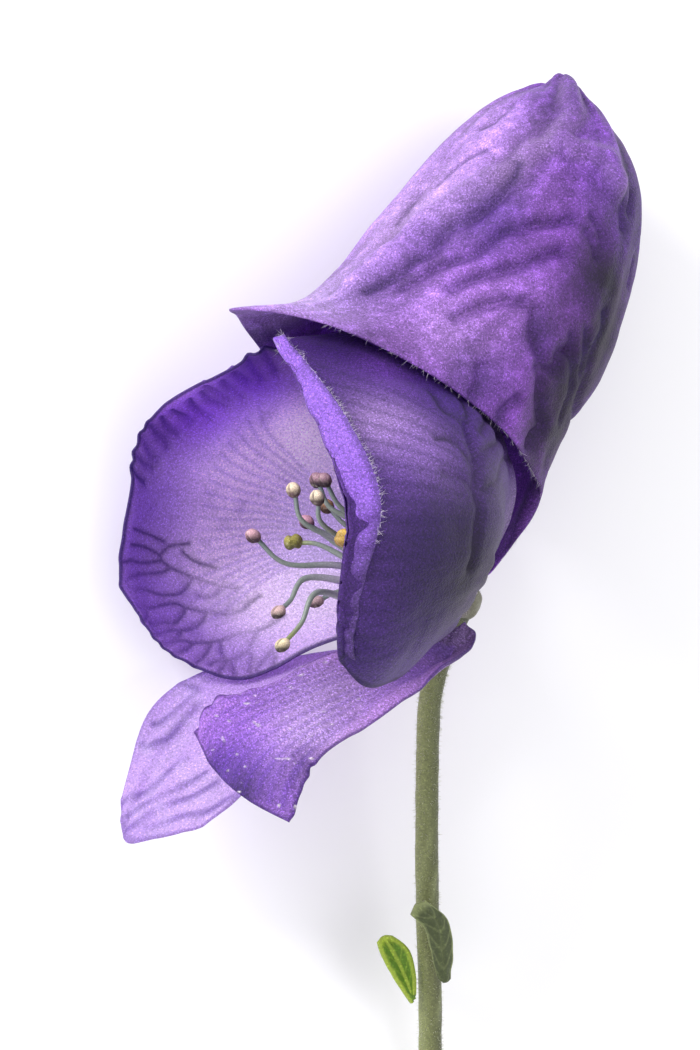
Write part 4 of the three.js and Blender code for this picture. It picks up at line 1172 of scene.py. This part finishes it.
class MONKSHOOD_OT_heart(bpy.types.Operator):
    """Build the stamens, the carpels and the nectaries"""

    bl_idname = "monkshood.heart"
    bl_label = "Stamens, carpels and nectaries"

    def execute(self, context):
        props = context.scene.monkshood_heart
        thread = finish("filament", 0.35, 0.3, 0.12, 0.015, 0.1)
        pollen = finish("pollen", 0.8, 0.0, 0.05, 0.02, 0.35)
        soft = finish("carpel_skin", 0.5, 0.25, 0.12, 0.02, 0.15)
        for index, (ring, clock, bends, tip, bean, colours) in enumerate(STAMENS):
            turn = math.radians(clock)
            foot = [STAMEN_FOOT_X, ring * math.sin(turn), ring * math.cos(turn)]
            path = np.array([foot, *bends, tip], float)
            lean = path[-1] - path[-2]
            lean /= np.linalg.norm(lean)
            path[-1] -= lean * props.anther * 0.25
            widen = props.filament_foot - props.filament_tip
            points, quads, triangles, places = rod(
                path, lambda s: props.filament_tip + widen * np.clip(1 - s / 0.75, 0, 1) ** 1.4, 36, 12)
            tone = np.broadcast_to(screen(props.foot_colour), points.shape)
            tone = blend(tone, screen(props.tip_colour), np.clip((places - 0.25) / 0.3, 0, 1))
            green = linear("a5ae6b" if index in (12, 7) else "7f8a8c")
            tone = blend(tone, green, np.clip((places - 0.72) / 0.2, 0, 1) * 0.8)
            label = f"stamen_{index + 1:02d}"
            make_piece(f"filament_{index + 1:02d}", points, quads, triangles, tone, thread, [label], "stamen_buff")
            half = props.anther / 2
            if bean:
                lengthwise = np.cross([0, 0, 1], lean)
                radii = (half * 1.4, half * 0.95, half * 0.95)
            else:
                lengthwise, radii = lean, (half * 0.9, half * 0.72, half * 0.8)
            parts = egg(np.array(tip, float), lengthwise, radii, colours, 100 + index)
            make_piece(f"anther_{index + 1:02d}", *parts, pollen, [label], "stamen_buff")
        for i in range(3):
            turn = 2 * math.pi * i / 3 + math.pi
            y, z = CARPEL_SPACING * math.sin(turn), CARPEL_SPACING * math.cos(turn)
            path = [[STAMEN_FOOT_X, y, z], [STAMEN_FOOT_X + CARPEL_LENGTH * 0.4, y * 1.1, z * 1.1 + 0.25],
                    [STAMEN_FOOT_X + CARPEL_LENGTH, y * 1.4, z * 1.4 + 1.0]]
            points, quads, triangles, places = rod(path, lambda s: 0.3 * (1 - 0.72 * s), 40, 16)
            tone = np.broadcast_to(screen(props.carpel), points.shape)
            tone = blend(tone, linear("5f6a48"), np.clip((places - 0.85) / 0.12, 0, 1))
            make_piece(f"carpel_body_{i + 1}", points, quads, triangles, tone, soft, [f"carpel_{i + 1}"], "carpel_green")
        for side, sign in (("left", 1), ("right", -1)):
            path = np.array(NECTARY_PATH) * [1, sign, 1]

            def radius(s):
                step = lambda a, b: np.clip((s - a) / (b - a), 0, 1) ** 2 * (3 - 2 * np.clip((s - a) / (b - a), 0, 1))
                return 0.21 + 0.34 * np.maximum(step(0.62, 0.82) - step(0.9, 1.15), 0)

            points, quads, triangles, places = rod(path, radius, 90, 20)
            tone = np.broadcast_to(screen(props.nectary), points.shape)
            tone = blend(tone, linear("6b4aa8"), np.clip((places - 0.6) / 0.2, 0, 1) * 0.7)
            make_piece(f"{side}_nectary_body", points, quads, triangles, tone, soft, [f"{side}_nectary"], "nectary_lilac")
        return {"FINISHED"}


def bracteole(net, seed):
    """A small leaf's net and relief: a slight ripple and a sunk midrib. Its colours, with the bright rim, are painted
    where the stalk is built.
    """
    net = np.array(net)

    def relief(p, u, v):
        return 0.03 * ripple(p, 0.5, seed) - 0.07 * np.exp(-((u - 0.5) / 0.07) ** 2)

    return net, relief


class MONKSHOOD_OT_stalk(bpy.types.Operator):
    """Build the stalk, the receptacle and the two bracteoles"""

    bl_idname = "monkshood.stalk"
    bl_label = "Stalk and bracteoles"

    def execute(self, context):
        props = context.scene.monkshood_stalk
        skin = finish("stalk_skin", 0.55, 0.0, 0.12, 0.03, 0.25, sheen=0.2)
        leaf = finish("bracteole_leaf", 0.5, 0.3, 0.2, 0.04, 0.18, sheen=0.2)
        size = props.radius
        radius = lambda s: size * (1 + 0.45 * np.clip(1 - s / 0.4, 0, 1) ** 2 + 0.06 * s)
        points, quads, triangles, places = rod(STALK_PATH, radius, 300, 48)
        centre = along(STALK_PATH, places)
        out = points - centre
        grooves = ripple(points * [1, 1, 0.12], 0.35, 91)
        points = points + out * (0.05 * grooves + 0.03 * ripple(points, 0.4, 92))[:, None]
        tone = np.broadcast_to(screen(props.green), points.shape)
        # Painted light and shade: the stalk is lighter on the side towards the light and darker on the side away from
        # it.
        side = out @ np.array([math.cos(math.radians(38)), -math.sin(math.radians(38)), 0]) / size
        tone = blend(tone, linear("8a925c"), 0.6 * np.clip(side, 0, 1))
        tone = blend(tone, linear("2a2d1a"), 0.6 * np.clip(-side, 0, 1))
        tone = blend(tone, linear("26271a"), 0.8 * np.clip(1 - places / 0.3, 0, 1))
        tone = blend(tone, linear("8f9668"), 0.35 * np.clip(grooves, 0, 1))
        stalk_parts = (points, quads, triangles, tone)
        rows, columns = 40, 64
        tilt = np.linspace(0, np.pi, rows)[:, None]
        turn = (2 * np.pi * np.arange(columns) / columns)[None]
        ball = np.stack([np.sin(tilt) * np.cos(turn), np.sin(tilt) * np.sin(turn),
                         np.cos(tilt) * np.ones_like(turn)], -1) * RECEPTACLE_RADII + RECEPTACLE_CENTRE
        ball = ball + 0.05 * ripple(ball, 0.5, 93)[..., None] * (ball - RECEPTACLE_CENTRE)
        body = np.concatenate([ball[1:-1].reshape(-1, 3), [ball[0, 0], ball[-1, 0]]])
        count = (rows - 2) * columns
        j = np.arange(columns)
        k = (j + 1) % columns
        caps = np.concatenate([
            np.stack([k, j, np.full(columns, count)], 1)[:, ::-1],
            np.stack([j + count - columns, k + count - columns, np.full(columns, count + 1)], 1)[:, ::-1]])
        ball_tone = blend(np.broadcast_to(linear("5c5a48"), body.shape), linear("8f7fa0"),
                          np.clip(body[:, 0] / 1.3, 0, 1))
        ball_quads = grid_quads(rows - 2, columns, True)
        halves = np.concatenate([ball_quads[:, [0, 1, 2]], ball_quads[:, [0, 2, 3]], caps])
        if signed_volume(body - body.mean(0), halves) * signed_volume(
                points - points.mean(0),
                np.concatenate([quads[:, [0, 1, 2]], quads[:, [0, 2, 3]], triangles])) < 0:
            ball_quads, caps = ball_quads[:, ::-1], caps[:, ::-1]
        whole = joined([stalk_parts, (body, ball_quads, caps, ball_tone)])
        make_piece("stalk_and_receptacle_body", *whole, skin, ["stalk_and_receptacle"], "stalk_green")
        for name, ribs, dark, bright, node in (
            ("near_bracteole", LEFT_BRACTEOLE_RIBS, "4c5633", "98a26c", "left_bracteole"),
            ("far_bracteole", RIGHT_BRACTEOLE_RIBS, "5f8420", "a9bd3e", "right_bracteole"),
        ):
            net, relief = bracteole(ribs, 95)

            def paint(p, u, v, outer, dark=dark, bright=bright):
                colours = np.broadcast_to(linear(dark), p.shape).copy()
                edge = np.minimum(np.minimum(u, 1 - u), 1 - v)
                colours = blend(colours, linear(bright), 0.85 * np.clip((0.14 - edge) / 0.1, 0, 1))
                colours = blend(colours, linear(bright), 0.7 * np.exp(-((u - 0.5) / 0.05) ** 2))
                branch = np.abs(((v * 5 + np.abs(u - 0.5) * -3) % 1) - 0.5)
                return blend(colours, linear(bright), 0.35 * np.clip((0.14 - branch) / 0.14, 0, 1))

            petal(name, net, (60, 44), 0.3, relief, paint, leaf, node, "bracteole_green",
                  inside=tuple(np.array(ribs).reshape(-1, 3).mean(0) - [0, 0, 0.01]))
        return {"FINISHED"}


class MONKSHOOD_OT_hairs(bpy.types.Operator):
    """Build the fine hairs of the margins and the stalk"""

    bl_idname = "monkshood.hairs"
    bl_label = "Hairs"

    def execute(self, context):
        props = context.scene.monkshood_stalk
        white = finish("fine_hair", 0.5, 0.4, 0.3, 0.005, 0.05)
        rng = np.random.default_rng(7)
        groups = []

        def add(roots, directions, lengths, radius, droop, colour):
            points, triangles = hairs(roots, directions, lengths, radius, droop)
            tone = np.broadcast_to(linear(colour), points.shape)
            groups.append((points, np.zeros((0, 4), int), triangles, tone))

        for net, closed, edge, outwards, lengths, colour in HAIR_LINES:
            net = hood_net() if net == "hood" else np.array(NETS[net])
            t = np.sort(rng.random(edge[4]))
            u = edge[0] + (edge[1] - edge[0]) * t
            v = edge[2] + (edge[3] - edge[2]) * t
            here = on_net(net, u, v, closed)
            inwards = on_net(net, u + outwards[0] * 0.02, np.clip(v + outwards[1] * 0.02, 0, 1), closed)
            away = here - inwards
            away /= np.maximum(np.linalg.norm(away, axis=1, keepdims=True), 1e-9)
            away = away + 0.55 * rng.standard_normal(away.shape)
            size = lengths[0] + (lengths[1] - lengths[0]) * rng.random(len(here))
            add(here - away * 0.02, away, size, HAIR_RADIUS, 0.25 * rng.standard_normal(here.shape), colour)
        t = rng.random(FUZZ_COUNT) * 0.995
        centre = along(STALK_PATH, t)
        ahead = along(STALK_PATH, np.minimum(t + 0.005, 1)) - along(STALK_PATH, np.maximum(t - 0.005, 0))
        around = np.cross(ahead, rng.standard_normal(ahead.shape))
        around /= np.linalg.norm(around, axis=1, keepdims=True)
        width = props.radius * (1 + 0.45 * np.clip(1 - t / 0.4, 0, 1) ** 2 + 0.06 * t)
        keep = t > 0.12
        add((centre + around * (width[:, None] * 0.97))[keep],
            (around + 0.5 * rng.standard_normal(around.shape))[keep],
            (props.fuzz * (0.6 + 0.8 * rng.random(len(t))))[keep], FUZZ_RADIUS,
            np.zeros((keep.sum(), 3)), "d5d8c0")
        points, quads, triangles, tone = joined(groups)
        make_piece("fine_hairs", points, quads, triangles, tone, white, (), "stamen_buff")
        return {"FINISHED"}


class MONKSHOOD_OT_stage(bpy.types.Operator):
    """Build the floor, the light and the camera"""

    bl_idname = "monkshood.stage"
    bl_label = "Floor, light and camera"

    def execute(self, context):
        props = context.scene.monkshood_stage
        scene = context.scene
        mesh = bpy.data.meshes.new("floor")
        half = FLOOR_HALF
        mesh.from_pydata([(-half, -half, 0), (half, -half, 0), (half, half, 0), (-half, half, 0)], [], [(0, 1, 2, 3)])
        floor = bpy.data.objects.new("floor", mesh)
        scene.collection.objects.link(floor)
        low = min(c.co.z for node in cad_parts.values() for c in node.data.vertices)
        mesh.transform(Matrix.Translation((0, 0, low - FLOOR_GAP)))
        paper = bpy.data.materials.new("pale_floor")
        paper.use_nodes = True
        shader = paper.node_tree.nodes["Principled BSDF"]
        shader.inputs["Base Color"].default_value = (*screen(props.floor), 1)
        shader.inputs["Roughness"].default_value = 0.9
        shader.inputs["Specular IOR Level"].default_value = 0.1
        mesh.materials.append(paper)
        target = lay_down(np.array(AIM)[None])[0]
        towards = LYING @ np.array([math.sin(VIEW_AZIMUTH), math.cos(VIEW_AZIMUTH), 0])
        up = LYING @ np.array([0.0, 0.0, 1.0])
        right = np.cross(up, towards)
        data = bpy.data.cameras.new("camera")
        data.sensor_fit = "VERTICAL"
        data.sensor_height = 36.0
        data.lens = 36.0 * props.distance / FRAME_HEIGHT
        data.clip_start = 0.005
        camera = bpy.data.objects.new("camera", data)
        scene.collection.objects.link(camera)
        camera.matrix_world = posed((right, up, towards), target + towards * props.distance)
        scene.camera = camera
        for name, spot, size, power, colour in (
            ("key_light", -right * 0.30 + up * 0.28 + towards * 0.34, 0.22, props.key * 11, (1.0, 0.98, 1.0)),
            ("fill_light", right * 0.34 + up * 0.05 + towards * 0.30, 0.35, props.key * 2.5, (1.0, 1.0, 1.0)),
        ):
            lamp = bpy.data.lights.new(name, "AREA")
            lamp.shape = "DISK"
            lamp.size = size
            lamp.energy = power
            lamp.color = colour
            light = bpy.data.objects.new(name, lamp)
            scene.collection.objects.link(light)
            back = spot / np.linalg.norm(spot)
            side = np.cross([0.0, 1.0, 0.0], back)
            side /= np.linalg.norm(side)
            top = np.cross(back, side)
            light.matrix_world = posed((side, top, back), target + spot)
        world = bpy.data.worlds.new("surroundings")
        world.use_nodes = True
        sky = world.node_tree.nodes["Background"]
        sky.inputs["Color"].default_value = (1, 1, 1, 1)
        sky.inputs["Strength"].default_value = props.air
        scene.world = world
        scene.view_settings.view_transform = "Standard"
        return {"FINISHED"}


class MONKSHOOD_PT_panel(bpy.types.Panel):
    """The flower's pieces and their settings"""

    bl_idname = "MONKSHOOD_PT_panel"
    bl_label = "Monkshood"
    bl_space_type = "VIEW_3D"
    bl_region_type = "UI"
    bl_category = "Monkshood"

    def draw(self, context):
        layout = self.layout
        for operator in OPERATORS:
            layout.operator(operator.bl_idname)
        for name, group in GROUPS.items():
            box = layout.box()
            settings = getattr(context.scene, name)
            for key in group.__annotations__:
                box.prop(settings, key)


OPERATORS = (MONKSHOOD_OT_stage, MONKSHOOD_OT_hood, MONKSHOOD_OT_sepals, MONKSHOOD_OT_heart,
             MONKSHOOD_OT_stalk, MONKSHOOD_OT_hairs)
GROUPS = {
    "monkshood_petals": MonkshoodPetals,
    "monkshood_heart": MonkshoodHeart,
    "monkshood_stalk": MonkshoodStalk,
    "monkshood_stage": MonkshoodStage,
}


def register():
    """Adds the settings, the operators and the panel."""
    for name, group in GROUPS.items():
        bpy.utils.register_class(group)
        setattr(bpy.types.Scene, name, bpy.props.PointerProperty(type=group))
    for cls in (*OPERATORS, MONKSHOOD_PT_panel):
        bpy.utils.register_class(cls)


def unregister():
    """Takes them away again."""
    for cls in (MONKSHOOD_PT_panel, *reversed(OPERATORS)):
        bpy.utils.unregister_class(cls)
    for name, group in GROUPS.items():
        delattr(bpy.types.Scene, name)
        bpy.utils.unregister_class(group)


def find_place():
    """Where the flower's origin lies: the middle of the hood's box, less that of the same hood worked
    out from its net and turned the same way."""
    u, v = np.meshgrid(np.linspace(0, 1, 160, endpoint=False), np.linspace(0, 1, 160))
    turned = on_net(hood_net(), u, v, True).reshape(-1, 3) @ LYING.T
    low, high = (np.array(corner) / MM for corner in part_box("hood"))
    PLACE[:] = (low + high) / 2 - (turned.min(0) + turned.max(0)) / 2


def main():
    """Builds everything in order."""
    register()
    find_place()
    bpy.ops.monkshood.stage()
    bpy.ops.monkshood.hood()
    bpy.ops.monkshood.sepals()
    bpy.ops.monkshood.heart()
    bpy.ops.monkshood.stalk()
    bpy.ops.monkshood.hairs()


if __name__ == "__main__":
    main()
